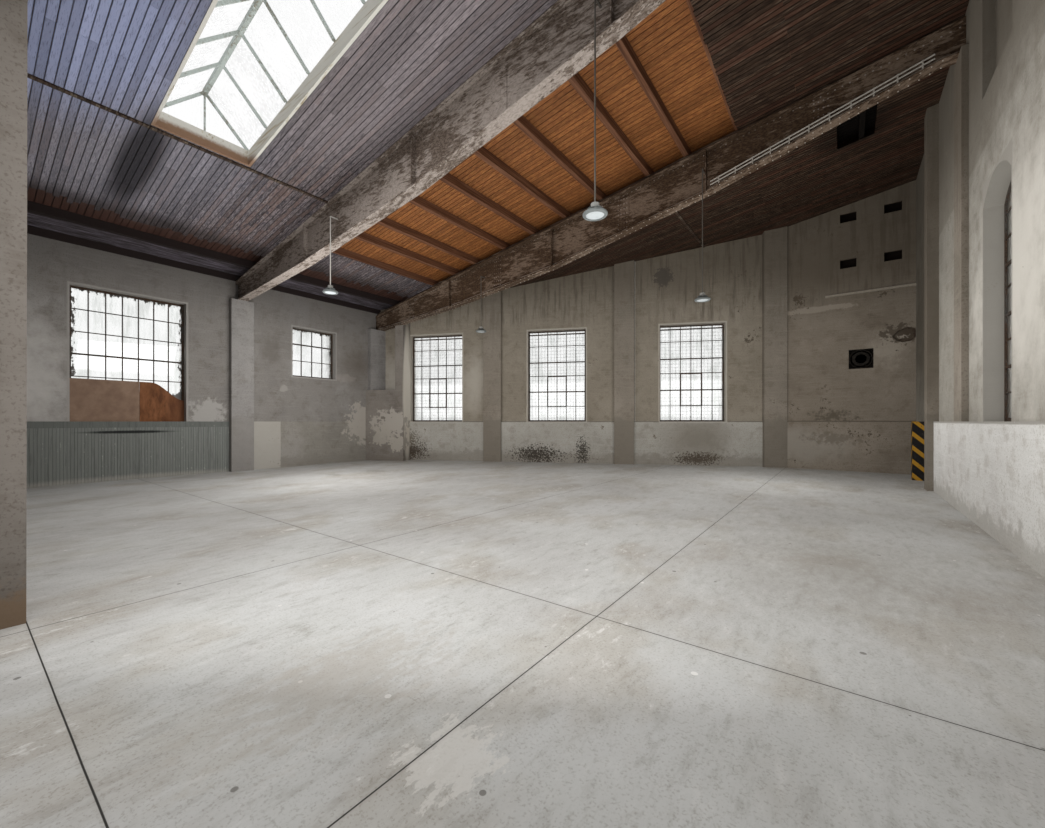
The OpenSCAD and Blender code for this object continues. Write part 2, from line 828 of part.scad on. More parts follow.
// Shapes that fill the window holes, made smaller all round by inset
module left_windows(x, t, inset) {
    translate([x, left_window_y + inset, sill_z + inset])
        cube([t, left_window_w - 2 * inset, head_z - sill_z - 2 * inset]);
    translate([x, small_window_y + inset, slab_t + small_window_sill + inset])
        cube([t, small_window_w - 2 * inset, small_window_head - small_window_sill - 2 * inset]);
}
module back_window_sheets(y, t, inset) {
    for (i = back_windows) on_back_wall()
        translate([back_window_t(i) - back_window_w / 2 + inset, y, sill_z + inset])
            cube([back_window_w - 2 * inset, t, back_head_z - sill_z - 2 * inset]);
}
module window_frames() {
    color("#4d5350") place() {
        difference() {
            left_windows(-reveal - frame_d, frame_d, 0);
            left_windows(-reveal - frame_d - past, frame_d + 2 * past, frame_w);
        }
        difference() {
            back_window_sheets(reveal, frame_d, 0);
            back_window_sheets(reveal - past, frame_d + 2 * past, frame_w);
        }
        for (y = right_windows) difference() {
            on_right_wall(y, reveal, frame_d) arched(0);
            on_right_wall(y, reveal - past, frame_d + 2 * past) arched(frame_w);
        }
    }
}
module window_glass() {
    mid = reveal + (frame_d - glass_t) / 2;
    color("#d5dfe0") place() {
        left_windows(-mid - glass_t, glass_t, frame_w);
        back_window_sheets(mid, glass_t, frame_w);
        for (y = right_windows) on_right_wall(y, mid, glass_t) arched(frame_w);
    }
}
module window_mesh() {
    color("#5c605e") place() back_window_sheets(mesh_reveal, mesh_t, 0);
}
// Boards that close the lower part of the large left window, standing against its frame
board_x = -reveal;
brown_board_w = 1290;
module brown_board() {
    color("#8a6a52") place() translate([board_x, left_window_y, sill_z])
        cube([board_t, brown_board_w, brown_board_h]);
}
// The cut board has a level top that falls away in a double curve
cut_board_w = left_window_w - brown_board_w - board_gap;
cut_flat = 220;
cut_low = 570;
cut_steps = 14;
function cut_x(i) = cut_flat + (cut_board_w - cut_flat) * i / cut_steps;
function cut_z(i) = cut_low + (brown_board_h - cut_low) * (1 + cos(180 * i / cut_steps)) / 2;
module cut_board() {
    color("#a2623c") place()
        translate([board_x, left_window_y + brown_board_w + board_gap, sill_z])
            rotate([90, 0, 90]) linear_extrude(board_t)
                polygon(concat([[cut_board_w, 0], [0, 0], [0, brown_board_h]],
                    [for (i = [0:cut_steps]) [cut_x(i), cut_z(i)]]));
}
// Two lamps hang beside each girder, from an arm on its web: girder, place, height
lamps = [[0, hall_w / 3, lamp_h + lamp_lift], [0, hall_w * 3 / 4 - 185, lamp_h],
    [1, hall_w / 3 + 150, lamp_h + lamp_lift - 90], [1, hall_w * 3 / 4 - 45, lamp_h - 60]];
arm_s = 24;
lamp_out = flange_w / 2 + 45;
disc_h = 55;
fins_h = 45;
driver_h = 70;
function lamp_arm_z(x, drop) = ceiling_at(x) - drop - girder_quarter_d / 2;
module lamp_stems() {
    color("#c8c8c4") place() for (lamp = lamps) {
        g = girders[lamp[0]];
        x = lamp[1];
        arm_z = lamp_arm_z(x, g[1]);
        foot_z = slab_t + lamp[2] + disc_h + fins_h + driver_h;
        translate([x - arm_s / 2, g[0] - lamp_out - arm_s / 2, arm_z])
            cube([arm_s, lamp_out + arm_s / 2 - web_t / 2, arm_s]);
        translate([x, g[0] - lamp_out, foot_z]) cylinder(arm_z - foot_z + past, d = stem_d);
    }
}
module lamp_discs() {
    color("#8e9496") place() for (lamp = lamps)
        translate([lamp[1], girders[lamp[0]][0] - lamp_out, slab_t + lamp[2]]) {
            cylinder(disc_h, d = lamp_d);
            translate([0, 0, disc_h]) cylinder(fins_h, d = lamp_d * 0.62);
            translate([0, 0, disc_h + fins_h]) cylinder(driver_h, d = lamp_d * 0.34);
        }
}

// A straight round bar between two points in the plane of a girder
module bar(x0, z0, x1, z1, y) {
    translate([x0, y, z0]) rotate([0, atan2(x1 - x0, z1 - z0), 0])
        cylinder(sqrt((x1 - x0) * (x1 - x0) + (z1 - z0) * (z1 - z0)), d = conduit_d);
}
conduit_lift = 70;
clip_n = 11;
clip_s = 20;
module conduits() {
    low = belly(packing_h);
    edge_y = girder_2_y - flange_w / 2 + conduit_d / 2;
    // Top of the lower flange, from just past its stiffener to the seat
    rise = (low[5][1] - low[4][1]) / (low[5][0] - low[4][0]);
    from_x = low[4][0] + stiffener_w;
    to_x = low[5][0] - stiffener_w;
    function flange_top(x) = low[4][1] + flange_t + (x - low[4][0]) * rise;
    color("#cfcfca") place() {
        // Two run above the lower flange of the second girder, on clips that stand on its edge
        for (up = [conduit_lift, 2 * conduit_lift])
            bar(from_x, flange_top(from_x) + up, to_x, flange_top(to_x) + up, edge_y);
        for (i = [0:clip_n - 1]) {
            x0 = from_x + (i + 0.5) * (to_x - from_x) / clip_n;
            x1 = x0 + clip_s;
            top = 2 * conduit_lift + conduit_d / 2;
            along_girder(edge_y, conduit_d, [[x0, flange_top(x0)], [x1, flange_top(x1)],
                [x1, flange_top(x1) + top], [x0, flange_top(x0) + top]]);
        }
        // One stands on the dado of the back wall, beside the second pilaster
        on_back_wall() translate([pipe_t, -conduit_d / 2, sill_z])
            cylinder(ceiling_at(pipe_t * cos(skew)) - upright(lining_t) - past - sill_z, d = conduit_d);
    }
}
module cable_trunking() {
    color("#c4c3bd") place() translate([hall_w - trunk_l, hall_l - trunk_d, slab_t + trunk_h])
        cube([trunk_l, trunk_d, trunk_s]);
}
// The fan's frame fills its hole, with a closed shutter behind the blades
module wall_fan() {
    plate = 30;
    bore = fan_s * 0.86;
    hub = fan_s * 0.2;
    shutter = 8;
    depth = 160;
    blades = 5;
    color("#2f3331") place() translate([bend_x + fan_x + fan_s / 2, hall_l, slab_t + fan_h + fan_s / 2])
        rotate([-90, 0, 0]) {
            translate([0, 0, shutter]) linear_extrude(plate) difference() {
                square(fan_s, center = true);
                circle(d = bore);
            }
            translate([0, 0, depth]) linear_extrude(shutter) square(fan_s, center = true);
            translate([0, 0, shutter]) cylinder(depth - shutter, d = hub);
            for (i = [0:blades - 1]) rotate([0, 0, i * 360 / blades])
                translate([0, 0, shutter + plate]) rotate([0, 25, 0])
                    translate([-hub / 3, hub / 2 - past, 0]) cube([hub / 1.5, (bore - hub) / 2 - past, 4]);
        }
}
// Striped guard at the foot of the right wall, beside the back wall
module corner_guard() {
    color("#d8b23a") place()
        translate([hall_w - guard_s, hall_l - guard_gap - guard_s, slab_t])
            cube([guard_s, guard_s, guard_h]);
}

floor_slab();
left_wall_base();
left_wall_piers();
left_wall_head();
back_wall_base();
back_wall_piers();
back_wall_head();
end_wall();
right_wall_base();
right_wall_piers();
right_wall_head();
right_dado();
front_wall_left();
front_wall_right();
front_lintel();
left_pilasters();
back_pilasters();
right_pilasters();
corner_block();
left_wainscot();
girder_1();
girder_2();
girder_packing();
purlins();
roof_boards();
eaves_planks();
roof_felt();
ceiling_lining();
lining_battens();
skylight_curb();
skylight_ridge();
skylight_rafters();
skylight_glass();
window_frames();
window_glass();
window_mesh();
brown_board();
cut_board();
lamp_stems();
lamp_discs();
conduits();
cable_trunking();
wall_fan();
corner_guard();
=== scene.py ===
"""Looks of a single-storey factory hall, seen from inside its gateway: worn plaster, riveted
girders, old ceiling boards with a stripped bay, barred windows and a ridge skylight."""

import math
import random

import bmesh
import bpy
from mathutils import Matrix, Vector


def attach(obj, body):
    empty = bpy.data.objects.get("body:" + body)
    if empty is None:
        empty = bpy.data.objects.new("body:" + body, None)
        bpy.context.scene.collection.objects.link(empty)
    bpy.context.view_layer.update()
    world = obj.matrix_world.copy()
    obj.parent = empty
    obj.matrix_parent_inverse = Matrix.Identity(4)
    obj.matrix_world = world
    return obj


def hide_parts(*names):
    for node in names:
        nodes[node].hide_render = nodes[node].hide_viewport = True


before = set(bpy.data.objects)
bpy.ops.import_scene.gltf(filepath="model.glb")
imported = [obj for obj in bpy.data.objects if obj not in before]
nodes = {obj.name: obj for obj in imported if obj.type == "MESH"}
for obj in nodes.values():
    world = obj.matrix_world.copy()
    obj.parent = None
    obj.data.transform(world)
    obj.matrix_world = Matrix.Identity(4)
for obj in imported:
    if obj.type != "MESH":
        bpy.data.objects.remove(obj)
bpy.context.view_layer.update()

# Setting out, in metres: x from the left wall, y from the front wall, z from the floor
HALL_W, HALL_L, FLOOR_Z = 15.70, 15.75, 0.15
WALL_T, OVERHANG = 0.45, 0.15
EAVES_H, PITCH = 5.56, math.radians(9)
SKEW_CORNER, END_L = 9.85, 3.35
BEND_X = HALL_W - END_L
SKEW = math.atan2(HALL_L - SKEW_CORNER, BEND_X)
SILL_H = 1.45
GIRDER_Y = (4.95, 9.75)
GIRDER_DROP = (0.0, 0.09)
FLANGE_W, FLANGE_T, WEB_T = 0.26, 0.024, 0.014
PURLIN_FIRST, PURLIN_STEP = 1.04, 1.032
PURLIN_D, DECK_T = 0.18, 0.025
SKY_X, SKY_Y, SKY_L, SKY_W, CURB_T = 5.13, 1.75, 5.27, 1.42, 0.045
# Windows: middle along the wall, half the width, foot and head above the sill
BACK_WINDOWS = [(2.26 + i * 4.50, 1.025, 0.0, 3.24) for i in range(3)]
LARGE_WINDOW = (2.50, 1.12, 0.0, 3.19)
SMALL_WINDOW = (7.23, 0.75, 1.47, 3.08)
RIGHT_WINDOWS = [(HALL_L - y, 0.65, 0.0, 3.27) for y in (3.10, 7.90)]
ARCH_RISE = 0.28
# Saw-cut joints of the floor, from the hall's middle: x of the long ones, y of the cross ones
LONG_JOINTS, CROSS_JOINTS = (9.65 - HALL_W / 2, 12.69 - HALL_W / 2), (0.0 - HALL_L / 2, 2.60 - HALL_L / 2)


def hall(x, y, z):
    """A point of the hall in the model's frame."""
    return Vector((x - HALL_W / 2, y - HALL_L / 2, z + FLOOR_Z))


def ceiling_at(x):
    """Height of the old ceiling over a place across the hall."""
    return EAVES_H + x * math.tan(PITCH)


def purlin_x(i):
    """Place of a purlin. Numbers 4 and 9 are trimmers beside the roof light's well."""
    if i == 4:
        return SKY_X - CURB_T - 0.05
    if i == 9:
        return SKY_X + SKY_L + CURB_T + 0.05
    return PURLIN_FIRST + i * PURLIN_STEP


def wall_axes(x, y, turn):
    """Axes of a wall with windows: x along the wall, y out of the hall, z up from the sill."""
    return Matrix.Translation(hall(x, y, SILL_H)) @ Matrix.Rotation(turn, 4, "Z")


BACK_WALL = wall_axes(0, SKEW_CORNER, SKEW)
LEFT_WALL = wall_axes(0, 0, math.radians(90))
RIGHT_WALL = wall_axes(HALL_W, HALL_L, math.radians(-90))
# The ceiling: x up the slope, y across it, z upright to it
SLOPE = Matrix.Translation(hall(0, 0, EAVES_H)) @ Matrix.Rotation(-PITCH, 4, "Y")


# Materials
def linear(code):
    """An sRGB hex colour as linear light."""
    parts = [int(code[i:i + 2], 16) / 255 for i in (1, 3, 5)]
    return [p / 12.92 if p <= 0.04045 else ((p + 0.055) / 1.055) ** 2.4 for p in parts] + [1.0]


def add(tree, kind, sockets=None, stops=(), **settings):
    """Adds a node. Its sockets take a number, a hex colour, an output, or a node for its first output,
    and a colour ramp takes stops, each (place, colour)."""
    node = tree.nodes.new(kind)
    for key, value in settings.items():
        setattr(node, key, value)
    for key, value in (sockets or {}).items():
        if isinstance(value, bpy.types.Node):
            value = value.outputs[0]
        if isinstance(value, bpy.types.NodeSocket):
            tree.links.new(value, node.inputs[key])
        else:
            node.inputs[key].default_value = linear(value) if str(value).startswith("#") else value
    for _ in stops[2:]:
        node.color_ramp.elements.new(0.5)
    for i, (at, colour) in enumerate(stops):
        node.color_ramp.elements[i].position = at
        node.color_ramp.elements[i].color = linear(colour)
    return node


def new_surface(name):
    """A material, its empty node tree and the place on the hall."""
    mat = bpy.data.materials.new(name)
    mat.use_nodes = True
    mat.node_tree.nodes.clear()
    return mat, mat.node_tree, add(mat.node_tree, "ShaderNodeTexCoord").outputs["Object"]


def finish_surface(mat, colour, rough, fine=None, strength=0.0, depth=0.0, sheen=0.5, more=None):
    """Gives a material its shader, with fine relief of a depth in metres that catches the light."""
    tree = mat.node_tree
    sockets = {"Base Color": colour, "Roughness": rough, "Specular IOR Level": sheen, **(more or {})}
    if fine is not None:
        sockets["Normal"] = add(tree, "ShaderNodeBump",
                                {"Strength": strength, "Distance": depth, "Height": fine})
    add(tree, "ShaderNodeOutputMaterial", {0: add(tree, "ShaderNodeBsdfPrincipled", sockets)})
    return mat


def coat(tree, under, over, mask, *edge):
    """Lays one colour over another where a mask is 1, or where a value has passed a worn edge."""
    mask = worn_edge(tree, mask, *edge) if edge else mask
    return add(tree, "ShaderNodeMix", {0: mask, 6: under, 7: over}, data_type="RGBA").outputs[2]


def stain(tree, under, tone, mask, *edge):
    """Soaks a colour with a darker one where a mask is 1, or where a value has passed a worn edge."""
    mask = worn_edge(tree, mask, *edge) if edge else mask
    return add(tree, "ShaderNodeMix", {0: mask, 6: under, 7: tone}, data_type="RGBA",
               blend_type="MULTIPLY").outputs[2]


def worn_edge(tree, value, low, high, most=1.0):
    """A mask that rises from 0 to its most between two values."""
    return add(tree, "ShaderNodeMapRange", {0: value, 1: low, 2: high, 4: most},
               interpolation_type="SMOOTHSTEP")


def cloud(tree, place, size, stretch=(1, 1, 1), detail=4.0, rough=0.55, turn=(0, 0, 0)):
    """Soft cloudy variation, about size metres from one cloud to the next."""
    if tuple(stretch) != (1, 1, 1) or tuple(turn) != (0, 0, 0):
        place = add(tree, "ShaderNodeMapping", {0: place, 2: turn, 3: [1 / s for s in stretch]})
    return add(tree, "ShaderNodeTexNoise",
               {"Vector": place, "Scale": 1 / size, "Detail": detail, "Roughness": rough})


def uneven(tree, value, clouds, share=1.0):
    """A value pushed up and down by a share of some clouds."""
    return add(tree, "ShaderNodeMath", {0: clouds, 1: share, 2: value}, operation="MULTIPLY_ADD")


def where_both(tree, a, b):
    """A mask of where two masks meet."""
    return add(tree, "ShaderNodeMath", {0: a, 1: b}, operation="MULTIPLY")


def least_of(tree, a, b):
    """The nearer of two distances, where the first may not be there yet."""
    return b if a is None else add(tree, "ShaderNodeMath", {0: a, 1: b}, operation="MINIMUM")


def round_about(tree, place, middle, reach):
    """1 at a point of the hall, falling to 0 at reach metres to each side of it."""
    near = add(tree, "ShaderNodeMapping", {0: place, 1: hall(*middle), 3: reach}, vector_type="TEXTURE")
    return add(tree, "ShaderNodeTexGradient", {0: near}, gradient_type="SPHERICAL").outputs[1]


def patch(tree, place, middle, reach, rag, most=1.0, ragged=2.0, soft=0.06):
    """A ragged patch round a point of the hall, reach metres to each side."""
    ball = round_about(tree, place, middle, reach)
    rim = 0.35 + ragged / 2
    kept = worn_edge(tree, uneven(tree, ball, rag, ragged), rim, rim + soft, most)
    return where_both(tree, kept, worn_edge(tree, ball, 0.0, 0.08))


def opening_edge(tree, place, wall, openings):
    """Distance from the nearest opening of a wall, less than 0 inside it. Each opening is
    (middle along the wall, half its width, low edge, high edge)."""
    spot = add(tree, "ShaderNodeMapping", {0: place, 1: wall.to_translation(), 2: wall.to_euler()},
               vector_type="TEXTURE")
    parts = add(tree, "ShaderNodeSeparateXYZ", {0: spot})
    least = None
    for middle, half, low, high in openings:
        past_edge = []
        for axis, centre, reach in ((0, middle, half), (2, (low + high) / 2, (high - low) / 2)):
            off = add(tree, "ShaderNodeMath", {0: parts.outputs[axis], 1: centre}, operation="SUBTRACT")
            off = add(tree, "ShaderNodeMath", {0: off}, operation="ABSOLUTE")
            past_edge.append(add(tree, "ShaderNodeMath", {0: off, 1: reach}, operation="SUBTRACT"))
        away = add(tree, "ShaderNodeMath", dict(enumerate(past_edge)), operation="MAXIMUM")
        least = least_of(tree, least, away)
    return least


def band(tree, colour, given, climb, low, high):
    """Coats a band of wall, given as (height, tone, strength), from low to high round that height."""
    level, tone, strength = given
    return coat(tree, colour, tone, climb, level + low, level + high, strength)


def old_plaster(name, base, dark, pale, drips=None, top=None, line=None, ledge=None, foot=None, chips=0.0,
                chip_tone="#4a4036", patches=(), reveals=None, past=(), relief=0.3):
    """Hand-floated lime and cement plaster, never repainted: chalky and faintly blotchy, with sand
    that catches the light, drips drawn down by water, and ragged edges where coats came off. Drips,
    top, line, ledge and foot are bands, each (height, tone, strength)."""
    mat, tree, place = new_surface(name)
    wide = cloud(tree, place, 1.6, detail=4.0, rough=0.64)
    near = cloud(tree, place, 0.30, detail=5.0, rough=0.66)
    # Sand is finer than 2 mm, and is drawn 22 mm from grain to grain so that it shows
    sand = cloud(tree, place, 0.022, detail=2.0)
    up = add(tree, "ShaderNodeSeparateXYZ", {0: place}).outputs[2]
    height = add(tree, "ShaderNodeMath", {0: up, 1: FLOOR_Z}, operation="SUBTRACT")
    colour = coat(tree, dark, base, wide, 0.34, 0.50)
    colour = coat(tree, colour, pale, wide, 0.50, 0.68)
    colour = stain(tree, colour, "#d3cdc6", near, 0.50, 0.34, 0.45)
    # Strokes of the float, long and faint
    stroke = cloud(tree, place, 0.4, (1.8, 1.8, 0.12), 2.0, 0.7)
    colour = coat(tree, colour, pale, stroke, 0.50, 0.66, 0.4)
    colour = stain(tree, colour, "#b9b2a8", sand, 0.48, 0.30, 0.5)
    if top:
        # Painted shade that deepens towards the ceiling
        colour = band(tree, colour, top, uneven(tree, height, wide, 1.4), 0.7, 2.4)
    if drips:
        # Water marks that start above a height and run down
        level, tone, strength = drips
        run = cloud(tree, place, 0.13, (1, 1, 12), 3.0, 0.62)
        climb = uneven(tree, height, wide, 2.6)
        wet = where_both(tree, worn_edge(tree, run, 0.46, 0.68),
                         worn_edge(tree, climb, level + 1.1, level + 1.9, strength))
        colour = coat(tree, colour, tone, wet)
    if line:
        # An old paint line, brushed by hand
        colour = band(tree, colour, line, uneven(tree, height, near, 0.12), 0.03, 0.10)
    if ledge:
        # Dirt along a ledge
        colour = band(tree, colour, ledge, uneven(tree, height, near, 0.03), -0.012, 0.0)
    if foot:
        # Damp that climbs from the floor
        colour = band(tree, colour, foot, uneven(tree, height, near, -1.1), -0.46, -0.66)
    for axis, low, high, tone, share in past:
        # (axis, from, to, tone, share): another coat, or bare masonry, between two places on an axis; in the
        # end wall's holes and slots it is also painted shade
        at = uneven(tree, add(tree, "ShaderNodeSeparateXYZ", {0: place}).outputs[axis], near, 0.03)
        inside = where_both(tree, worn_edge(tree, at, low, low + 0.02),
                            worn_edge(tree, at, high + 0.02, high, share))
        colour = coat(tree, colour, tone, inside)
    rags = {}
    for middle, reach, tone, grain, ragged, soft, most in patches:
        # (middle, reach, tone, grain of its edge, how ragged, how soft, strength)
        if grain not in rags:
            rags[grain] = cloud(tree, place, grain, detail=4.0, rough=0.7)
        colour = coat(tree, colour, tone, patch(tree, place, middle, reach, rags[grain], most, ragged, soft))
    if chips:
        chip = cloud(tree, place, 0.09, detail=5.0, rough=0.72)
        gate = cloud(tree, place, 0.8, detail=2.0)
        off = uneven(tree, chip, gate, 0.8)
        colour = coat(tree, colour, chip_tone, off, 1.16 - 0.16 * chips, 1.18 - 0.16 * chips)
    if reveals:
        # (wall, openings, tone): whitewashed reveals, lapped a little round the arris
        wall, openings, tone = reveals
        away = uneven(tree, opening_edge(tree, place, wall, openings), near, 0.05)
        colour = coat(tree, colour, tone, away, 0.085, 0.045, 0.9)
    return finish_surface(mat, colour, 0.92, uneven(tree, stroke, sand, 0.25), relief, 0.008, sheen=0.25)


def sawn_timber(name, tones, along=(1.6, 0.03, 0.03), paint=(), areas=(), rough=0.75, split=0.5, odd=None,
                seam=0.0, fleck=0.0):
    """Sawn softwood: grain drawn out along the board, each board in its own tone, with what is
    left of old coats of paint where they are named, and dirt in the joints."""
    mat, tree, place = new_surface(name)
    tone = add(tree, "ShaderNodeAttribute", attribute_name="tone").outputs[2]
    shift = add(tree, "ShaderNodeCombineXYZ", {0: tone, 1: tone, 2: tone})
    own = add(tree, "ShaderNodeVectorMath", {0: shift, 1: (37.0, 11.0, 5.0), 2: place},
              operation="MULTIPLY_ADD")
    grain = cloud(tree, own, 1.0, along, 4.0, 0.66)
    broad = cloud(tree, own, 1.0, [a * 4 for a in along], 2.0, 0.5)
    colour = add(tree, "ShaderNodeValToRGB", {0: grain}, list(zip((0.36, 0.50, 0.64), tones)))
    colour = coat(tree, colour, tones[0], broad, 0.56, 0.74, 0.6)
    if odd:
        # (tone, share): boards of another make or age among the rest
        tint, share = odd
        lot = add(tree, "ShaderNodeMath", {0: tone, 1: 17.0}, operation="MULTIPLY")
        lot = add(tree, "ShaderNodeMath", {0: lot}, operation="FRACT")
        colour = coat(tree, colour, tint, lot, share, share - 0.02, 0.75)
    for tint, left, streak in paint:
        # (tone, share that is left, length and breadth of a streak): a coat worn away in streaks
        flake = uneven(tree, cloud(tree, own, 1.0, streak, 4.0, 0.68), broad, 0.5)
        colour = coat(tree, colour, tint, flake, 0.92 - 0.34 * left, 1.04 - 0.34 * left, 0.85)
    for middle, reach, tint, share in areas:
        # (middle, reach, tone, share): a tone over an area, boards and all: soot or wet, or painted light and
        # painted shadow
        ball = uneven(tree, round_about(tree, place, middle, reach), grain, 0.5)
        colour = coat(tree, colour, tint, ball, 0.25, 0.85, share)
    if fleck:
        colour = stain(tree, colour, "#8f8a86", grain, 0.48, 0.32, fleck)
    shade = add(tree, "ShaderNodeMapRange", {0: tone, 3: 1.0 - split, 4: 1.0})
    if seam:
        # Dirt in the joints, heavier at some boards than at others
        across = add(tree, "ShaderNodeAttribute", attribute_name="across").outputs[2]
        across = add(tree, "ShaderNodeMath", {0: across}, operation="ABSOLUTE")
        dirty = worn_edge(tree, uneven(tree, across, grain, 0.45), 1.03, 1.19)
        shade = where_both(tree, shade, add(tree, "ShaderNodeMapRange", {0: dirty, 3: 1.0, 4: 1.0 - seam}))
    level = add(tree, "ShaderNodeCombineXYZ", {0: shade, 1: shade, 2: shade}).outputs[0]
    return finish_surface(mat, stain(tree, colour, level, 1.0), rough, grain, 0.5, 0.003, sheen=0.3)


def worn_concrete(name):
    """Trowelled concrete, ground by wheels: pale grey with cloudy damp marks, scuffs, grit and
    saw-cut joints 8 mm wide."""
    mat, tree, place = new_surface(name)
    wide = cloud(tree, place, 2.4, detail=3.0, rough=0.60)
    warm = cloud(tree, place, 0.9, (1, 1.6, 1), 4.0, 0.62)
    # Strokes of the trowel and of wheels, all along the hall
    stroke = cloud(tree, place, 0.09, (1, 3.2, 1), 5.0, 0.74)
    # Pores, drawn 12 mm apart, which is coarser than the real ones, so that they show
    fine = cloud(tree, place, 0.012, detail=2.0)
    colour = add(tree, "ShaderNodeValToRGB", {0: wide},
                 [(0.30, "#a8a7a3"), (0.44, "#afaeab"), (0.56, "#b6b6b3"), (0.70, "#bdbdbb")])
    colour = stain(tree, colour, "#e2dacf", warm, 0.46, 0.66, 0.6)
    colour = stain(tree, colour, "#dcdad6", stroke, 0.50, 0.30, 0.6)
    colour = coat(tree, colour, "#cac9c6", stroke, 0.52, 0.74, 0.4)
    colour = stain(tree, colour, "#d5d2cd", fine, 0.48, 0.30, 0.6)
    # Lime scraped off a wall, and thin scuffs
    scuff = cloud(tree, place, 0.07, (1, 2.2, 1), 4.0, 0.74, (0, 0, 0.25))
    both = uneven(tree, scuff, warm, 0.9)
    colour = coat(tree, colour, "#dad9d6", both, 1.12, 1.28, 0.55)
    colour = stain(tree, colour, "#c4bfb7", both, 0.80, 0.62, 0.5)
    # Dark grit and pale chips of plaster, up to 40 mm: coarser than the real ones, so that they show
    crumb = add(tree, "ShaderNodeTexVoronoi", {"Vector": place, "Scale": 5.0, "Randomness": 1.0})
    lots = add(tree, "ShaderNodeSeparateColor", {0: crumb.outputs[1]})
    for lot, tint in ((0, "#55514b"), (1, "#dedcd8")):
        size = add(tree, "ShaderNodeMath", {0: lots.outputs[lot], 1: 0.30, 2: -0.20},
                   operation="MULTIPLY_ADD")
        inside = add(tree, "ShaderNodeMath", {0: size, 1: crumb}, operation="SUBTRACT")
        colour = coat(tree, colour, tint, inside, -0.01, 0.01, 0.7)
    for middle, reach, tint, share, ragged, soft in (
            # Stains where an old machine stood
            ((3.3, 7.3, 0), (0.75, 0.5, 1), "#8a857c", 0.6, 2.0, 0.3),
            ((3.1, 6.1, 0), (0.5, 0.3, 1), "#857f75", 0.5, 2.0, 0.3),
            # Damp before the back wall
            ((9.9, 9.6, 0), (1.9, 1.2, 1), "#9a958c", 0.5, 1.6, 0.6),
            # A thin screed at the gateway, and dirt beside it
            ((12.81, 0.97, 0), (0.30, 0.36, 1), "#cbc8c2", 0.6, 2.4, 0.12),
            ((11.9, 1.0, 0), (0.7, 1.3, 1), "#a39d94", 0.5, 2.4, 0.5),
            # Floor along the tall wall, which no wheels have ground
            ((14.1, 5.0, 0), (2.5, 3.8, 1), "#8b8780", 0.7, 0.9, 0.8)):
        colour = coat(tree, colour, tint, patch(tree, place, middle, reach, scuff, share, ragged, soft))
    # Saw-cut joints, the long ones first
    parts = add(tree, "ShaderNodeSeparateXYZ", {0: place})
    wander = add(tree, "ShaderNodeMath", {0: wide, 1: 0.016, 2: -0.008}, operation="MULTIPLY_ADD")
    cut = None
    for axis, at in [(0, x) for x in LONG_JOINTS] + [(1, y) for y in CROSS_JOINTS]:
        off = add(tree, "ShaderNodeMath", {0: parts.outputs[axis], 1: at}, operation="SUBTRACT")
        off = add(tree, "ShaderNodeMath", {0: uneven(tree, off, wander)}, operation="ABSOLUTE")
        cut = least_of(tree, cut, off)
    colour = coat(tree, colour, "#8d8983", cut, 0.03, 0.0, 0.2)
    colour = coat(tree, colour, "#2b2926", cut, 0.0052, 0.0022)
    rough = add(tree, "ShaderNodeMapRange", {0: warm, 1: 0.3, 2: 0.7, 3: 0.55, 4: 0.8})
    return finish_surface(mat, colour, rough, fine, 0.35, 0.001, sheen=0.35)


def flaking_steel(name, coat_tone, under, rust, kept, size, stretch=(5, 1, 0.7)):
    """Rolled steel under a brushed coat that flakes: chalky paint in streaks on brown rust."""
    mat, tree, place = new_surface(name)
    flake = cloud(tree, place, size, stretch, 6.0, 0.74)
    wide = cloud(tree, place, 0.7, (2, 1, 1), 2.0)
    fine = cloud(tree, place, 0.025, (2, 1, 1), 2.0)
    left = uneven(tree, flake, wide, 0.6)
    bare = coat(tree, under, rust, fine, 0.35, 0.65)
    dusty = coat(tree, coat_tone, under, fine, 0.60, 0.36, 0.5)
    colour = coat(tree, bare, dusty, left, 0.90 - 0.22 * kept, 0.90 - 0.22 * kept + 0.09)
    return finish_surface(mat, colour, 0.7, fine, 0.5, 0.002, sheen=0.3)


def enamel(name, tone, dirt, rough=0.45, share=0.35, spots=()):
    """Sprayed enamel or moulded plastic: even, slightly glossy, dulled in places by dust. Spots are
    (middle, reach, tone): parts that came in another colour."""
    mat, tree, place = new_surface(name)
    dust = cloud(tree, place, 0.06, detail=3.0, rough=0.6)
    colour = coat(tree, tone, dirt, dust, 0.42, 0.66, share)
    for middle, reach, tint in spots:
        colour = coat(tree, colour, tint, patch(tree, place, middle, reach, dust, 1.0, 0.0, 0.02))
    return finish_surface(mat, colour, rough, dust, 0.15, 0.001)


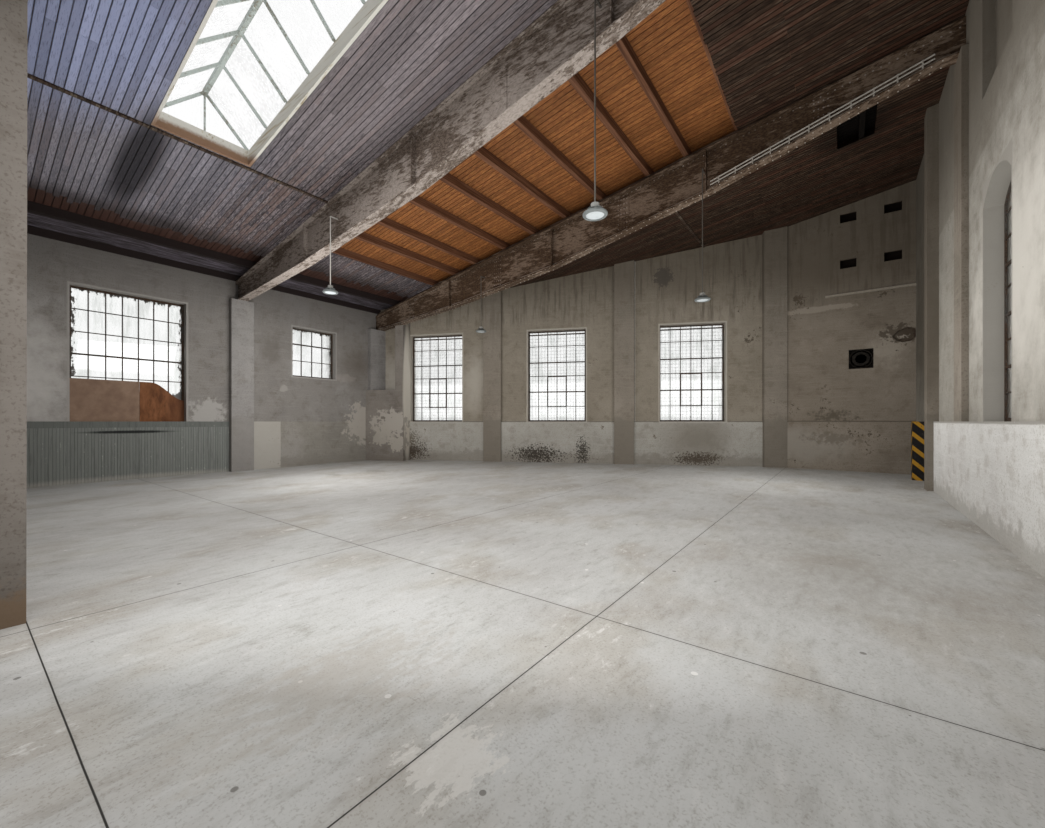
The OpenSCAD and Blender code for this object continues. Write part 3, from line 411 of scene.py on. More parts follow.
def window_pane(name, clear, film, tones, streaks=0.5, edges=None):
    """Drawn window glass, never washed: light comes through a film of dust and lime that rain has
    drawn down, and clear where the film is thin."""
    mat, tree, place = new_surface(name)
    run = cloud(tree, place, 0.05, (1, 1, 8), 3.0, 0.65)
    wide = cloud(tree, place, 0.55, (1, 1, 1.6), 2.0, 0.6)
    pane = cloud(tree, place, 0.20, (1, 1, 2), 1.0, 0.5)
    both = where_both(tree, run, wide)
    dust = worn_edge(tree, both, 0.18, 0.36)
    colour = coat(tree, tones[0], tones[1], pane, 0.40, 0.62)
    colour = coat(tree, colour, tones[2], both, 0.26, 0.40, streaks)
    alpha = add(tree, "ShaderNodeMapRange", {0: dust, 3: clear, 4: film})
    if edges:
        # (wall, openings, tone, breadth): cobweb and mortar dirt that grows in from the frame, on
        # the low wall alone
        wall, openings, tone, breadth = edges
        rag = cloud(tree, place, 0.07, (1, 1, 2.2), 4.0, 0.7)
        away = uneven(tree, opening_edge(tree, place, wall, openings), rag, breadth * 4)
        grime = worn_edge(tree, away, breadth * 1.35, breadth * 1.6)
        across = add(tree, "ShaderNodeSeparateXYZ", {0: place}).outputs[0]
        grime = where_both(tree, grime, worn_edge(tree, across, 0.5 - HALL_W / 2, 0.4 - HALL_W / 2))
        colour = coat(tree, colour, tone, grime)
        alpha = add(tree, "ShaderNodeMath", {0: alpha, 1: grime}, operation="MAXIMUM")
    return finish_surface(mat, colour, 0.35, more={"Alpha": alpha, "Transmission Weight": 1.0, "IOR": 1.45})


def striped_guard(name):
    """Board painted with slanting stripes, 340 mm from one to the next, scuffed at the edges."""
    mat, tree, place = new_surface(name)
    parts = add(tree, "ShaderNodeSeparateXYZ", {0: place})
    across = add(tree, "ShaderNodeMath", {0: parts.outputs[0], 1: parts.outputs[1]}, operation="ADD")
    slant = add(tree, "ShaderNodeMath", {0: parts.outputs[2], 1: across}, operation="ADD")
    turn = add(tree, "ShaderNodeMath", {0: slant, 1: 1 / 0.34}, operation="MULTIPLY")
    part = add(tree, "ShaderNodeMath", {0: turn}, operation="FRACT")
    colour = coat(tree, "#151313", "#a97d22", part, 0.64, 0.66)
    rub = cloud(tree, place, 0.07, detail=4.0, rough=0.7)
    colour = coat(tree, colour, "#4a443f", rub, 0.60, 0.66)
    return finish_surface(mat, colour, 0.55, rub, 0.2, 0.001)


def bitumen_felt(name):
    """Mineral-faced bitumen felt in rolls 1 m wide: matt grit, with a lap every metre."""
    mat, tree, place = new_surface(name)
    # Grit is about 1 mm, and is drawn 12 mm from grain to grain so that it shows
    grit = cloud(tree, place, 0.012, detail=2.0)
    wide = cloud(tree, place, 1.8, (1.5, 1, 1), 5.0, 0.6)
    colour = add(tree, "ShaderNodeValToRGB", {0: wide},
                 [(0.3, "#3c3d3e"), (0.55, "#4d4f50"), (0.75, "#626360")])
    along = add(tree, "ShaderNodeSeparateXYZ", {0: place}).outputs[1]
    part = add(tree, "ShaderNodeMath", {0: along}, operation="FRACT")
    colour = coat(tree, colour, "#232425", part, 0.03, 0.0)
    both = add(tree, "ShaderNodeMath", {0: grit, 1: part}, operation="ADD")
    return finish_surface(mat, colour, 0.9, both, 0.4, 0.004)


# Trees of Geometry Nodes for the pieces that repeat
def socket_id(tree, name):
    """The identifier of a tree's named input."""
    return next(i.identifier for i in tree.interface.items_tree if i.item_type == "SOCKET"
                and i.in_out == "INPUT" and i.name == name)


def new_tree(name, sizes, counts=()):
    """A tree of Geometry Nodes and what it is given. Its named inputs are the geometry, sizes in
    metres or radians, whole numbers, and the finish of the pieces."""
    tree = bpy.data.node_groups.new(name, "GeometryNodeTree")
    tree.interface.new_socket("Geometry", in_out="INPUT", socket_type="NodeSocketGeometry")
    for labels, kind in ((sizes, "NodeSocketFloat"), (counts, "NodeSocketInt"),
                         (["Finish"], "NodeSocketMaterial")):
        for label in labels:
            tree.interface.new_socket(label, in_out="INPUT", socket_type=kind)
    tree.interface.new_socket("Geometry", in_out="OUTPUT", socket_type="NodeSocketGeometry")
    return tree, add(tree, "NodeGroupInput").outputs


def close_tree(tree, given, pieces):
    """Makes the pieces real, gives them their finish and ends the tree."""
    real = add(tree, "GeometryNodeRealizeInstances", {0: pieces})
    done = add(tree, "GeometryNodeSetMaterial", {"Geometry": real, "Material": given["Finish"]})
    add(tree, "NodeGroupOutput", {0: done})
    return tree


def straight_pieces_tree():
    """Straight pieces laid on marks. Each mark is the middle of a piece and holds its length, its
    turn and its tone. Play shifts, Lift raises and Roll tilts the pieces a little, as laid by hand."""
    tree, given = new_tree("straight pieces", ("Width", "Thickness", "Play", "Lift", "Roll"), ("Seed",))
    run, turn, tone = (
        add(tree, "GeometryNodeInputNamedAttribute", {"Name": name}, data_type=kind)
        for name, kind in (("run", "FLOAT"), ("turn", "FLOAT_VECTOR"), ("tone", "FLOAT")))
    next_seed = add(tree, "ShaderNodeMath", {0: given["Seed"], 1: 7.0}, operation="ADD")
    side, rise = (
        add(tree, "FunctionNodeRandomValue", {2: -1.0, 3: 1.0, "Seed": seed}, data_type="FLOAT").outputs[1]
        for seed in (given["Seed"], next_seed))
    across, up, roll = (
        add(tree, "ShaderNodeMath", {0: chance, 1: given[most]}, operation="MULTIPLY")
        for chance, most in ((side, "Play"), (rise, "Lift"), (rise, "Roll")))
    shift = add(tree, "ShaderNodeCombineXYZ", {1: across, 2: up})
    placed = add(tree, "GeometryNodeSetPosition", {"Geometry": given["Geometry"], "Offset": shift})
    rolled = add(tree, "ShaderNodeCombineXYZ", {0: roll})
    turned_by = add(tree, "ShaderNodeVectorMath", {0: turn, 1: rolled}, operation="ADD")
    size = add(tree, "ShaderNodeCombineXYZ", {0: run, 1: given["Width"], 2: given["Thickness"]})
    # Each piece knows how far a point is from its middle line, -1 to 1, for the dirt in its joints
    block = add(tree, "GeometryNodeMeshCube", {"Size": (1, 1, 1)})
    breadth = add(tree, "ShaderNodeSeparateXYZ", {0: add(tree, "GeometryNodeInputPosition")}).outputs[1]
    breadth = add(tree, "ShaderNodeMath", {0: breadth, 1: 2.0}, operation="MULTIPLY")
    marked = add(tree, "GeometryNodeStoreNamedAttribute", {
        "Geometry": block, "Name": "across", "Value": breadth}, data_type="FLOAT", domain="POINT")
    laid_out = add(tree, "GeometryNodeInstanceOnPoints", {
        "Points": placed, "Instance": marked, "Rotation": turned_by, "Scale": size})
    toned = add(tree, "GeometryNodeStoreNamedAttribute", {
        "Geometry": laid_out, "Name": "tone", "Value": tone}, data_type="FLOAT", domain="INSTANCE")
    return close_tree(tree, given, toned)


def rivet_tree():
    """Round rivet heads at an even pitch along drawn lines."""
    tree, given = new_tree("rivets on lines", ("Pitch", "Head", "Proud"))
    drawn = add(tree, "GeometryNodeMeshToCurve", {0: given["Geometry"]})
    spaced = add(tree, "GeometryNodeResampleCurve", {"Curve": drawn, "Length": given["Pitch"]}, mode="LENGTH")
    dots = add(tree, "GeometryNodeCurveToPoints", {"Curve": spaced}, mode="EVALUATED")
    dome = add(tree, "GeometryNodeMeshUVSphere", {"Segments": 8, "Rings": 4, "Radius": 1.0})
    size = add(tree, "ShaderNodeCombineXYZ", {0: given["Head"], 1: given["Proud"], 2: given["Head"]})
    return close_tree(tree, given, add(tree, "GeometryNodeInstanceOnPoints", {
        "Points": dots, "Instance": dome, "Scale": size}))


def ring_tree():
    """Flat pieces set on edge round a hub: cooling fins, fan blades or spokes."""
    tree, given = new_tree("pieces round a hub", ("Inner", "Outer", "Tall", "Thin", "Lean"), ("Count",))
    middle = add(tree, "ShaderNodeMath", {0: given["Inner"], 1: given["Outer"]}, operation="ADD")
    middle = add(tree, "ShaderNodeMath", {0: middle, 1: 0.5}, operation="MULTIPLY")
    length = add(tree, "ShaderNodeMath", {0: given["Outer"], 1: given["Inner"]}, operation="SUBTRACT")
    circle = add(tree, "GeometryNodeMeshCircle", {"Vertices": given["Count"], "Radius": middle})
    step = add(tree, "ShaderNodeMath", {0: 2 * math.pi, 1: given["Count"]}, operation="DIVIDE")
    index = add(tree, "GeometryNodeInputIndex")
    angle = add(tree, "ShaderNodeMath", {0: index, 1: step}, operation="MULTIPLY")
    turn = add(tree, "ShaderNodeCombineXYZ", {0: given["Lean"], 2: angle})
    size = add(tree, "ShaderNodeCombineXYZ", {0: length, 1: given["Thin"], 2: given["Tall"]})
    plate = add(tree, "GeometryNodeMeshCube", {"Size": (1, 1, 1)})
    return close_tree(tree, given, add(tree, "GeometryNodeInstanceOnPoints", {
        "Points": circle, "Instance": plate, "Rotation": turn, "Scale": size}))


# Making pieces
def add_object(name, data):
    """Puts a mesh, a camera or a lamp into the scene."""
    made_object = bpy.data.objects.new(name, data)
    bpy.context.scene.collection.objects.link(made_object)
    return made_object


def marks(rows):
    """A mesh of marks: middle, length, turn and tone of each straight piece."""
    mesh = bpy.data.meshes.new("marks")
    mesh.from_pydata([r[0] for r in rows], [], [])
    for name, kind, field, values in (
            ("run", "FLOAT", "value", [r[1] for r in rows]),
            ("turn", "FLOAT_VECTOR", "vector", [angle for r in rows for angle in r[2]]),
            ("tone", "FLOAT", "value", [r[3] for r in rows])):
        mesh.attributes.new(name, kind, "POINT").data.foreach_set(field, values)
    return mesh


def lines(rows):
    """A mesh of plain lines, each a list of points."""
    points, edges = [], []
    for row in rows:
        edges += [(len(points) + i, len(points) + i + 1) for i in range(len(row) - 1)]
        points += row
    mesh = bpy.data.meshes.new("lines")
    mesh.from_pydata(points, edges, [])
    return mesh


def grow(name, mesh, tree, settings, at=Matrix.Identity(4)):
    """Runs a tree over a mesh and keeps the result as a plain mesh object, set at its place."""
    seed_object = add_object(name + "_marks", mesh)
    maker = seed_object.modifiers.new("maker", "NODES")
    maker.node_group = tree
    for label, value in settings.items():
        maker[socket_id(tree, label)] = value
    ready = seed_object.evaluated_get(bpy.context.evaluated_depsgraph_get())
    made = bpy.data.meshes.new_from_object(ready, preserve_all_data_layers=True,
                                           depsgraph=bpy.context.evaluated_depsgraph_get())
    made.name = name
    made.transform(at)
    seed_object.modifiers.remove(maker)
    bpy.data.objects.remove(seed_object)
    return add_object(name, made)


def straight(name, rows, width, thickness, finish, at, seed=1, play=0.0, lift=0.0, roll=0.0):
    """Boards, bars or wires laid on their marks."""
    return grow(name, marks(rows), straight_pieces, {
        "Width": width, "Thickness": thickness, "Play": play, "Lift": lift, "Roll": roll, "Seed": seed,
        "Finish": finish}, at)


def ring(name, count, inner, outer, tall, thin, finish, at, lean=0.0):
    """Flat pieces round a hub. The tree makes its own circle, so it grows on a bare line."""
    return grow(name, lines([[(0, 0, 0), (0.01, 0, 0)]]), ring_pieces, {
        "Count": count, "Inner": inner, "Outer": outer, "Tall": tall, "Thin": thin, "Lean": lean,
        "Finish": finish}, at)


def join(name, parts):
    """Several made pieces as one mesh object."""
    kept = bpy.data.meshes.new(name)
    whole = bmesh.new()
    finishes = []
    for kept_name in ("tone", "across"):
        whole.verts.layers.float.new(kept_name)
    for part in parts:
        faces = len(whole.faces)
        whole.from_mesh(part.data)
        whole.faces.ensure_lookup_table()
        for face in whole.faces[faces:]:
            finish = part.data.materials[face.material_index] if part.data.materials else None
            if finish not in finishes:
                finishes.append(finish)
            face.material_index = finishes.index(finish)
        bpy.data.objects.remove(part)
    whole.to_mesh(kept)
    whole.free()
    for finish in finishes:
        kept.materials.append(finish)
    return add_object(name, kept)


def shape(name, points, faces, finish, at=Matrix.Identity(4)):
    """A mesh object from points and faces, facing outwards."""
    mesh = bpy.data.meshes.new(name)
    mesh.from_pydata([at @ Vector(p) for p in points], [], faces)
    body = bmesh.new()
    body.from_mesh(mesh)
    bmesh.ops.recalc_face_normals(body, faces=body.faces)
    body.to_mesh(mesh)
    body.free()
    mesh.materials.append(finish)
    return add_object(name, mesh)


def tube(name, points, n, finish, at=Matrix.Identity(4)):
    """A closed body from rings of n points each, one after the other."""
    rings = len(points) // n
    faces = [(i * n + k, i * n + (k + 1) % n, (i + 1) * n + (k + 1) % n, (i + 1) * n + k)
             for i in range(rings - 1) for k in range(n)]
    faces += [tuple(range(n)), tuple((rings - 1) * n + k for k in range(n))]
    return shape(name, points, faces, finish, at)


def swept(name, profile, path, finish):
    """A profile of (y, z) points carried along a path of (x, z) points, upright all the way."""
    return tube(name, [(x, y, z + up) for x, z in path for y, up in profile], len(profile), finish)


def turned(name, profile, finish, at, steps=40):
    """A profile of (radius, height) points spun round the upright axis, closed at both ends."""
    turns = [2 * math.pi * i / steps for i in range(steps)]
    points = [(r * math.cos(t), r * math.sin(t), z) for r, z in profile for t in turns]
    return tube(name, points, steps, finish, at)


def finish_piece(piece, slot, *nodes_stood_for):
    """Puts a piece on the building and hides the CAD nodes that it stands for."""
    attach(piece, "root")
    if nodes_stood_for:
        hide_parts(*nodes_stood_for)
    return piece


def dress(material, *names):
    """Gives CAD nodes their finish."""
    for name in names:
        nodes[name].data.materials.clear()
        nodes[name].data.materials.append(material)


straight_pieces = straight_pieces_tree()
rivets_on_lines = rivet_tree()
ring_pieces = ring_tree()
ALONG, UPRIGHT, LEVEL = (0, 0, 0), (0, -math.pi / 2, 0), (0, 0, math.pi / 2)

# Camera, at the place and angle of the photograph, whose sizes are in its pixels
PHOTO_W, PHOTO_H, SENSOR = 1045, 828, 36.0
FOCAL, MIDDLE_X, HORIZON_Y = 433.9, 510.5, 421.5
cam = bpy.data.cameras.new("camera")
cam.sensor_width = SENSOR
cam.lens = FOCAL / PHOTO_W * SENSOR
cam.shift_x = (PHOTO_W / 2 - MIDDLE_X) / PHOTO_W
cam.shift_y = (HORIZON_Y - PHOTO_H / 2) / PHOTO_W
cam.clip_start = 0.05
eye = add_object("camera", cam)
eye.location = (6.300, -8.225, 1.600)
eye.rotation_euler = (math.radians(90), 0, math.radians(37.57))
bpy.context.scene.camera = eye

# Finishes. Each patch is (middle, reach, tone, grain of its edge, how ragged, how soft, strength)
PALE_END = 6.11  # where the pale coat at the foot of the low wall ends
concrete = worn_concrete("worn trowelled concrete")
plaster_left = old_plaster(
    "cement plaster of the low wall", "#807c77", "#787470", "#8b8884", top=(4.1, "#4d4947", 0.6),
    drips=(4.2, "#68645f", 0.35), reveals=(LEFT_WALL, (LARGE_WINDOW, SMALL_WINDOW), "#97938e"),
    patches=(((0.0, 4.1, 1.65), (0.4, 0.75, 0.75), "#a3a09b", 0.25, 1.6, 0.25, 0.75),
             # Painted light on the wall between the front corner and the large window
             ((0.0, 0.4, 2.4), (0.6, 2.4, 3.6), "#b8b4af", 0.6, 0.6, 0.6, 1.0),
             ((0.0, 8.8, 3.5), (0.4, 1.3, 1.6), "#665f57", 0.6, 1.2, 0.6, 0.85),
             ((0.0, 5.8, 3.7), (0.4, 0.7, 1.0), "#6c6761", 0.25, 1.2, 0.5, 0.7),
             ((0.0, 6.2, 2.5), (0.4, 0.22, 0.22), "#98948e", 0.25, 1.0, 0.3, 0.7),
             ((0.0, 8.3, 3.0), (0.4, 0.9, 0.25), "#969089", 0.25, 1.6, 0.3, 0.4),
             ((0.0, 9.0, 1.7), (0.4, 0.8, 0.7), "#a39d94", 0.25, 2.4, 0.10, 0.85)))
plaster_base = old_plaster(
    "plaster at the foot of the low wall", "#858179", "#7d7972", "#918d87", chips=0.2, chip_tone="#77726a",
    foot=(0.30, "#77726a", 0.5), past=((1, -HALL_L / 2, PALE_END - HALL_L / 2, "#a8a49c", 0.75),),
    patches=(((0.0, 9.0, 1.2), (0.4, 0.95, 0.8), "#a39d94", 0.25, 2.4, 0.10, 0.85),))
plaster_back = old_plaster(
    "lime plaster of the back wall", "#8b8376", "#847c6f", "#958d80", top=(4.9, "#5c5449", 0.7),
    drips=(4.85, "#544c42", 0.65), chips=0.03, chip_tone="#5d554a",
    reveals=(BACK_WALL, BACK_WINDOWS, "#b1aba0"),
    # The first patch is painted light from the first window, on the wall beside the corner block
    patches=(((0.7, 10.3, 2.6), (2.4, 2.4, 3.2), "#b4aea4", 0.6, 0.6, 0.6, 0.9),
             ((3.4, 11.45, 2.9), (1.2, 1.2, 2.4), "#aaa499", 0.6, 0.6, 0.6, 0.9),
             ((9.9, 14.6, 6.0), (1.6, 1.6, 1.1), "#675f54", 0.6, 1.0, 0.6, 0.5),
             ((9.3, 14.4, 6.3), (0.5, 0.5, 0.6), "#4f4a44", 0.1, 1.6, 0.15, 0.8)))
dado_back = old_plaster(
    "limewashed dado", "#a3a098", "#98948c", "#aeaba4", ledge=(1.455, "#4b443b", 0.8),
    foot=(0.35, "#746d63", 0.5), chips=0.15, chip_tone="#70675c",
    reveals=(BACK_WALL, BACK_WINDOWS, "#a9a49b"),
    patches=(((1.2, 10.2, 0.34), (1.1, 1.1, 0.55), "#3c3128", 0.05, 3.0, 0.2, 0.9),
             ((1.0, 10.1, 0.80), (0.9, 0.9, 0.5), "#5f564b", 0.05, 3.0, 0.2, 0.8),
             ((5.7, 12.2, 0.28), (1.4, 1.2, 0.50), "#332c25", 0.05, 3.0, 0.2, 0.9),
             ((7.0, 13.0, 0.40), (0.4, 0.35, 0.75), "#35302a", 0.05, 3.0, 0.2, 0.9),
             ((10.2, 14.9, 0.9), (2.6, 2.4, 1.8), "#7d776d", 0.3, 0.6, 0.6, 0.9),
             ((10.2, 14.9, 0.22), (1.1, 1.0, 0.34), "#4b4238", 0.05, 3.0, 0.2, 0.9)))
plaster_end = old_plaster(
    "patched plaster of the end wall", "#7f766a", "#756c60", "#8b8276", top=(4.3, "#574f44", 0.75),
    drips=(4.8, "#463e34", 0.4), chips=0.25, chip_tone="#534a3f",
    patches=(((13.0, HALL_L, 0.75), (2.6, 0.5, 1.15), "#928c82", 0.6, 0.6, 0.4, 0.75),
             ((13.9, HALL_L, 1.62), (1.1, 0.5, 0.30), "#575045", 0.12, 2.2, 0.5, 0.8),
             ((13.9, HALL_L, 0.95), (1.3, 0.5, 0.35), "#6d655a", 0.12, 2.2, 0.4, 0.7),
             ((13.3, HALL_L, 4.85), (1.9, 0.5, 0.16), "#9a9184", 0.25, 1.2, 0.2, 0.6),
             ((15.1, HALL_L, 3.5), (0.8, 0.5, 1.1), "#a29a8d", 0.25, 1.4, 0.5, 0.5),
             ((13.9, HALL_L, 6.2), (1.6, 0.5, 1.1), "#5d554a", 0.6, 1.4, 0.7, 0.6),
             ((14.25, HALL_L, 6.2), (0.8, 0.5, 0.45), "#5a5247", 0.12, 1.6, 0.4, 0.55),
             ((15.2, HALL_L, 6.25), (0.7, 0.5, 0.45), "#5a5247", 0.12, 1.6, 0.4, 0.5),
             ((15.35, HALL_L, 3.89), (0.7, 0.6, 0.42), "#4f463c", 0.12, 2.2, 0.25, 0.85),
             ((15.45, 15.95, 3.80), (0.30, 0.30, 0.13), "#a0978b", 0.05, 1.6, 0.2, 0.8),
             # Painted shade inside the slots high in the wall
             ((14.75, 15.98, 6.85), (3.0, 0.3, 3.5), "#120d0a", 0.3, 0.3, 0.15, 0.95)),
    past=((2, SILL_H + FLOOR_Z, 1.475 + FLOOR_Z, "#4f473d", 0.8),
          # Inside the holes and slots: bare masonry, darkened with painted shade
          (1, HALL_L / 2 + 0.05, HALL_L / 2 + 0.41, "#3d322a", 1.0)))
plaster_right = old_plaster(
    "limewash of the tall wall", "#928e85", "#89847b", "#9d9990", drips=(4.6, "#837d73", 0.4),
    line=(5.25, "#6f685d", 0.5), top=(5.3, "#4f483e", 0.7), chips=0.05, chip_tone="#7b7469",
    patches=(((HALL_W, 14.2, 4.0), (1.0, 4.5, 6.0), "#544e44", 0.6, 0.6, 0.5, 0.85),
             ((HALL_W, 7.2, 3.2), (1.2, 4.8, 4.0), "#d0ccc3", 0.6, 0.6, 0.6, 0.9)),
    reveals=(RIGHT_WALL, RIGHT_WINDOWS, "#9d9991"))
dado_right = old_plaster(
    "limewashed dado of the tall wall", "#d0cfcb", "#c7c5c1", "#dad9d6", foot=(0.25, "#97938b", 0.6),
    chips=0.1, chip_tone="#aeaaa3",
    patches=(((15.6, 4.5, 0.45), (0.5, 2.6, 0.7), "#b6b3ad", 0.25, 1.4, 0.6, 0.6),),
    past=((2, 1.425 + FLOOR_Z, 1.60 + FLOOR_Z, "#8a867e", 0.8),))
plaster_front = old_plaster(
    "plaster of the gateway wall", "#69635d", "#645e58", "#6e6862",
    foot=(0.34, "#6a5846", 0.85), relief=0.15,
    patches=(((10.9, 0.0, 0.33), (0.45, 0.5, 0.16), "#3a2f25", 0.08, 1.6, 0.12, 0.8),))
plaster_left_pilasters = old_plaster(
    "plaster of the low wall's pilasters", "#888582", "#807d7a", "#93908c", top=(4.5, "#5d5853", 0.5),
    foot=(1.6, "#7f7b76", 0.6), chips=0.1, chip_tone="#6f6a64")
plaster_pilasters = old_plaster(
    "plaster of the pilasters", "#877f74", "#7d766b", "#928a7f", top=(4.7, "#5b5348", 0.65),
    drips=(4.5, "#5f574c", 0.4), foot=(1.55, "#736d63", 0.6), chips=0.15, chip_tone="#6a6257",
    patches=(((15.4, 12.3, 3.6), (1.6, 2.6, 4.8), "#5a5349", 0.6, 0.4, 0.5, 0.85),))
plaster_corner = old_plaster(
    "flaking plaster of the corner block", "#7d7770", "#746e68", "#87817a", foot=(0.2, "#6a635a", 0.5),
    # The first patch is painted light from the window beside the block; the others are flaked coats
    patches=(((1.55, 10.31, 2.5), (0.85, 0.85, 6.0), "#cfc8bc", 0.25, 0.0, 0.1, 0.95),
             ((0.95, 9.62, 1.42), (1.0, 1.0, 0.75), "#a39d94", 0.30, 3.0, 0.12, 0.9),
             ((0.6, 9.45, 0.95), (0.7, 0.7, 0.5), "#9f998f", 0.25, 2.4, 0.08, 0.9),
             ((1.2, 9.75, 0.65), (0.6, 0.6, 0.4), "#a19b91", 0.25, 2.4, 0.08, 0.9)))
render_right = old_plaster(
    "cement render", "#8d8a84", "#85817b", "#98958f", drips=(0.3, "#77726a", 0.4),
    foot=(0.25, "#6f6a61", 0.6))
deck_timber = sawn_timber(
    "new softwood deck", ("#60381f", "#8a552f", "#a87542"),
    (0.14, 0.010, 0.03), split=0.3, rough=0.6, seam=0.4,
    areas=(((0.7, 5.0, 5.9), (3.0, 30.0, 3.0), "#3f2d29", 0.95),
           # Painted shadow on the deck seen through the hole in the back bay's ceiling
           ((14.35, 11.35, 8.0), (2.0, 2.4, 2.0), "#0c0908", 1.0)))
old_boards = sawn_timber(
    "old painted ceiling boards", ("#2f2828", "#655c5d", "#948a8a"),
    (0.16, 0.012, 0.03), split=0.38, seam=0.6, fleck=0.5,
    odd=("#6e5b54", 0.22),
    paint=(("#8a8688", 0.35, (0.22, 0.016, 0.03)), ("#38333a", 0.5, (0.45, 0.03, 0.03)),
           ("#a8a39e", 0.1, (0.10, 0.012, 0.03))),
    # The first three areas are painted light round the roof light, bluish where the sky is reflected; the
    # fourth is a painted shadow strip
    areas=(((4.9, 1.2, 6.3), (4.6, 3.0, 2.5), "#a3a2ae", 0.5),
           ((6.9, 0.4, 6.6), (3.2, 2.0, 2.5), "#a3aed4", 0.75),
           ((9.0, 3.9, 7.0), (4.5, 1.6, 2.5), "#a89fa2", 0.5),
           ((3.9, 1.76, 6.2), (2.3, 0.40, 1.5), "#17151a", 0.85),
           ((1.7, 4.0, 5.9), (0.9, 12.0, 1.5), "#3a3231", 0.8)))
back_boards = sawn_timber(
    "old ceiling boards of the back bay", ("#1b1310", "#3a2a20", "#5e4a3a"),
    (0.35, 0.012, 0.03), split=0.45, seam=0.9, fleck=0.5,
    odd=("#4f3428", 0.3),
    paint=(("#6e5e50", 0.3, (0.5, 0.010, 0.03)), ("#857768", 0.1, (0.3, 0.010, 0.03))),
    areas=(((14.3, 11.8, 8.0), (1.0, 1.0, 1.5), "#120d0a", 0.6),))
purlin_timber = sawn_timber(
    "sawn purlins", ("#472c1e", "#5f3e2b", "#775540"), (0.03, 1.4, 0.03), split=0.0,
    areas=(((0.9, 5.0, 5.9), (2.6, 30.0, 3.0), "#231c1b", 1.0),
           # Painted shadow on the purlins seen through the hole in the back bay's ceiling
           ((14.35, 11.35, 8.0), (2.0, 2.4, 2.0), "#0c0908", 1.0)))
eaves_timber = sawn_timber(
    "blackened eaves planks", ("#29241f", "#443f43", "#6d6670"), (0.03, 0.5, 0.03), split=0.0,
    paint=(("#67636a", 0.2, (0.03, 0.3, 0.03)),))
packing_timber = sawn_timber(
    "blackened packing", ("#231b16", "#3b2f27", "#56473c"), (1.4, 0.05, 0.05), split=0.0,
    paint=(("#6d6254", 0.3, (0.6, 0.04, 0.04)),))
curb_timber = sawn_timber(
    "limewashed curb boards", ("#8d8068", "#a99b80", "#bdb29a"), (1.4, 0.05, 0.05), split=0.0,
    paint=(("#d9d8d2", 1.1, (0.9, 0.04, 0.04)),),
    areas=(((5.1, 2.46, 6.39), (0.5, 1.9, 0.16), "#7b5637", 0.9),))
wainscot_timber = sawn_timber(
    "painted matchboard", ("#666864", "#727470", "#80827f"), (0.03, 0.03, 0.7), split=0.10, seam=0.26,
    paint=(("#777a75", 0.8, (0.05, 0.05, 0.5)), ("#a5a69f", 0.05, (0.05, 0.05, 0.08))),
    areas=(((0.0, 2.4, 0.0), (0.5, 3.5, 0.16), "#9b9890", 0.7),
           ((0.0, 2.45, 1.19), (0.3, 1.15, 0.05), "#2b2d2c", 1.0)))
board_brown = sawn_timber(
    "hardboard", ("#765f50", "#816a59", "#8b7463"), (0.4, 0.4, 0.4), split=0.0, rough=0.6)
board_red = sawn_timber(
    "red-brown plywood", ("#57341e", "#6e4529", "#835638"), (0.12, 0.2, 0.5), split=0.0, rough=0.45)
girder_steel = flaking_steel(
    "limewashed steel of the front girder", "#a1978f", "#756960", "#50443a",
    kept=0.72, size=0.07, stretch=(3.2, 1, 0.8))
girder_steel_rear = flaking_steel(
    "limewashed steel of the rear girder", "#7a6a5c", "#524132", "#382a20",
    kept=0.5, size=0.07, stretch=(3.2, 1, 0.8))
flange_steel = flaking_steel(
    "limewashed flange steel", "#b3aa9f", "#7a6d61", "#54463b", kept=0.95, size=0.08)
bar_steel = flaking_steel(
    "rusty window steel", "#4b4945", "#332b25", "#4a3525", kept=0.6, size=0.03, stretch=(1, 1, 1))
sky_steel = flaking_steel(
    "painted roof light bars", "#c6cfcb", "#a8b0a9", "#8b8273", kept=1.0, size=0.05, stretch=(1, 1, 1))
wire_steel = flaking_steel(
    "galvanised wire", "#6a6d6b", "#4a4743", "#5a4a3c", kept=0.7, size=0.03, stretch=(1, 1, 1))
lamp_white = enamel("white enamel", "#8f8f8b", "#6d6963")
stem_enamel = enamel("grey enamel of the stems", "#5b5751", "#3f3b36",
                     spots=(((5.23, 4.77, 5.1), (1.2, 1.2, 3.0), "#c4c1ba"),))
lamp_grey = enamel("grey cast aluminium", "#6f7473", "#4d504f", 0.5)
lamp_lens = enamel("opal lamp lens", "#bcc2c4", "#a6abad", 0.3, 0.25)
plastic_white = enamel("white plastic conduit", "#b9b4ab", "#7c756b", 0.5)
plastic_dusty = enamel("dusty plastic trunking", "#938b7e", "#6d665b", 0.5)
fan_black = enamel("dirty fan sheet", "#191613", "#2c2722", 0.7, 0.6)
guard_paint = striped_guard("striped guard paint")
felt = bitumen_felt("bitumen felt")
# Grime grows in on the low wall's panes: above the boards that stand in the large window, and past
# the small one's sill
GRIMY_PANES = (LARGE_WINDOW[:2] + (0.70, 3.19), SMALL_WINDOW[:2] + (1.37, 3.08))
pane_dirty = window_pane(
    "dusty window glass", 0.30, 0.85, ("#f3f5f3", "#e6e9e6", "#c6c9c5"), 0.4,
    edges=(LEFT_WALL, GRIMY_PANES, "#2b2620", 0.13))
pane_roof = window_pane("roof light glass", 0.0, 0.12, ("#fbfdfd", "#f6f9f9", "#f0f4f4"), 0.1)

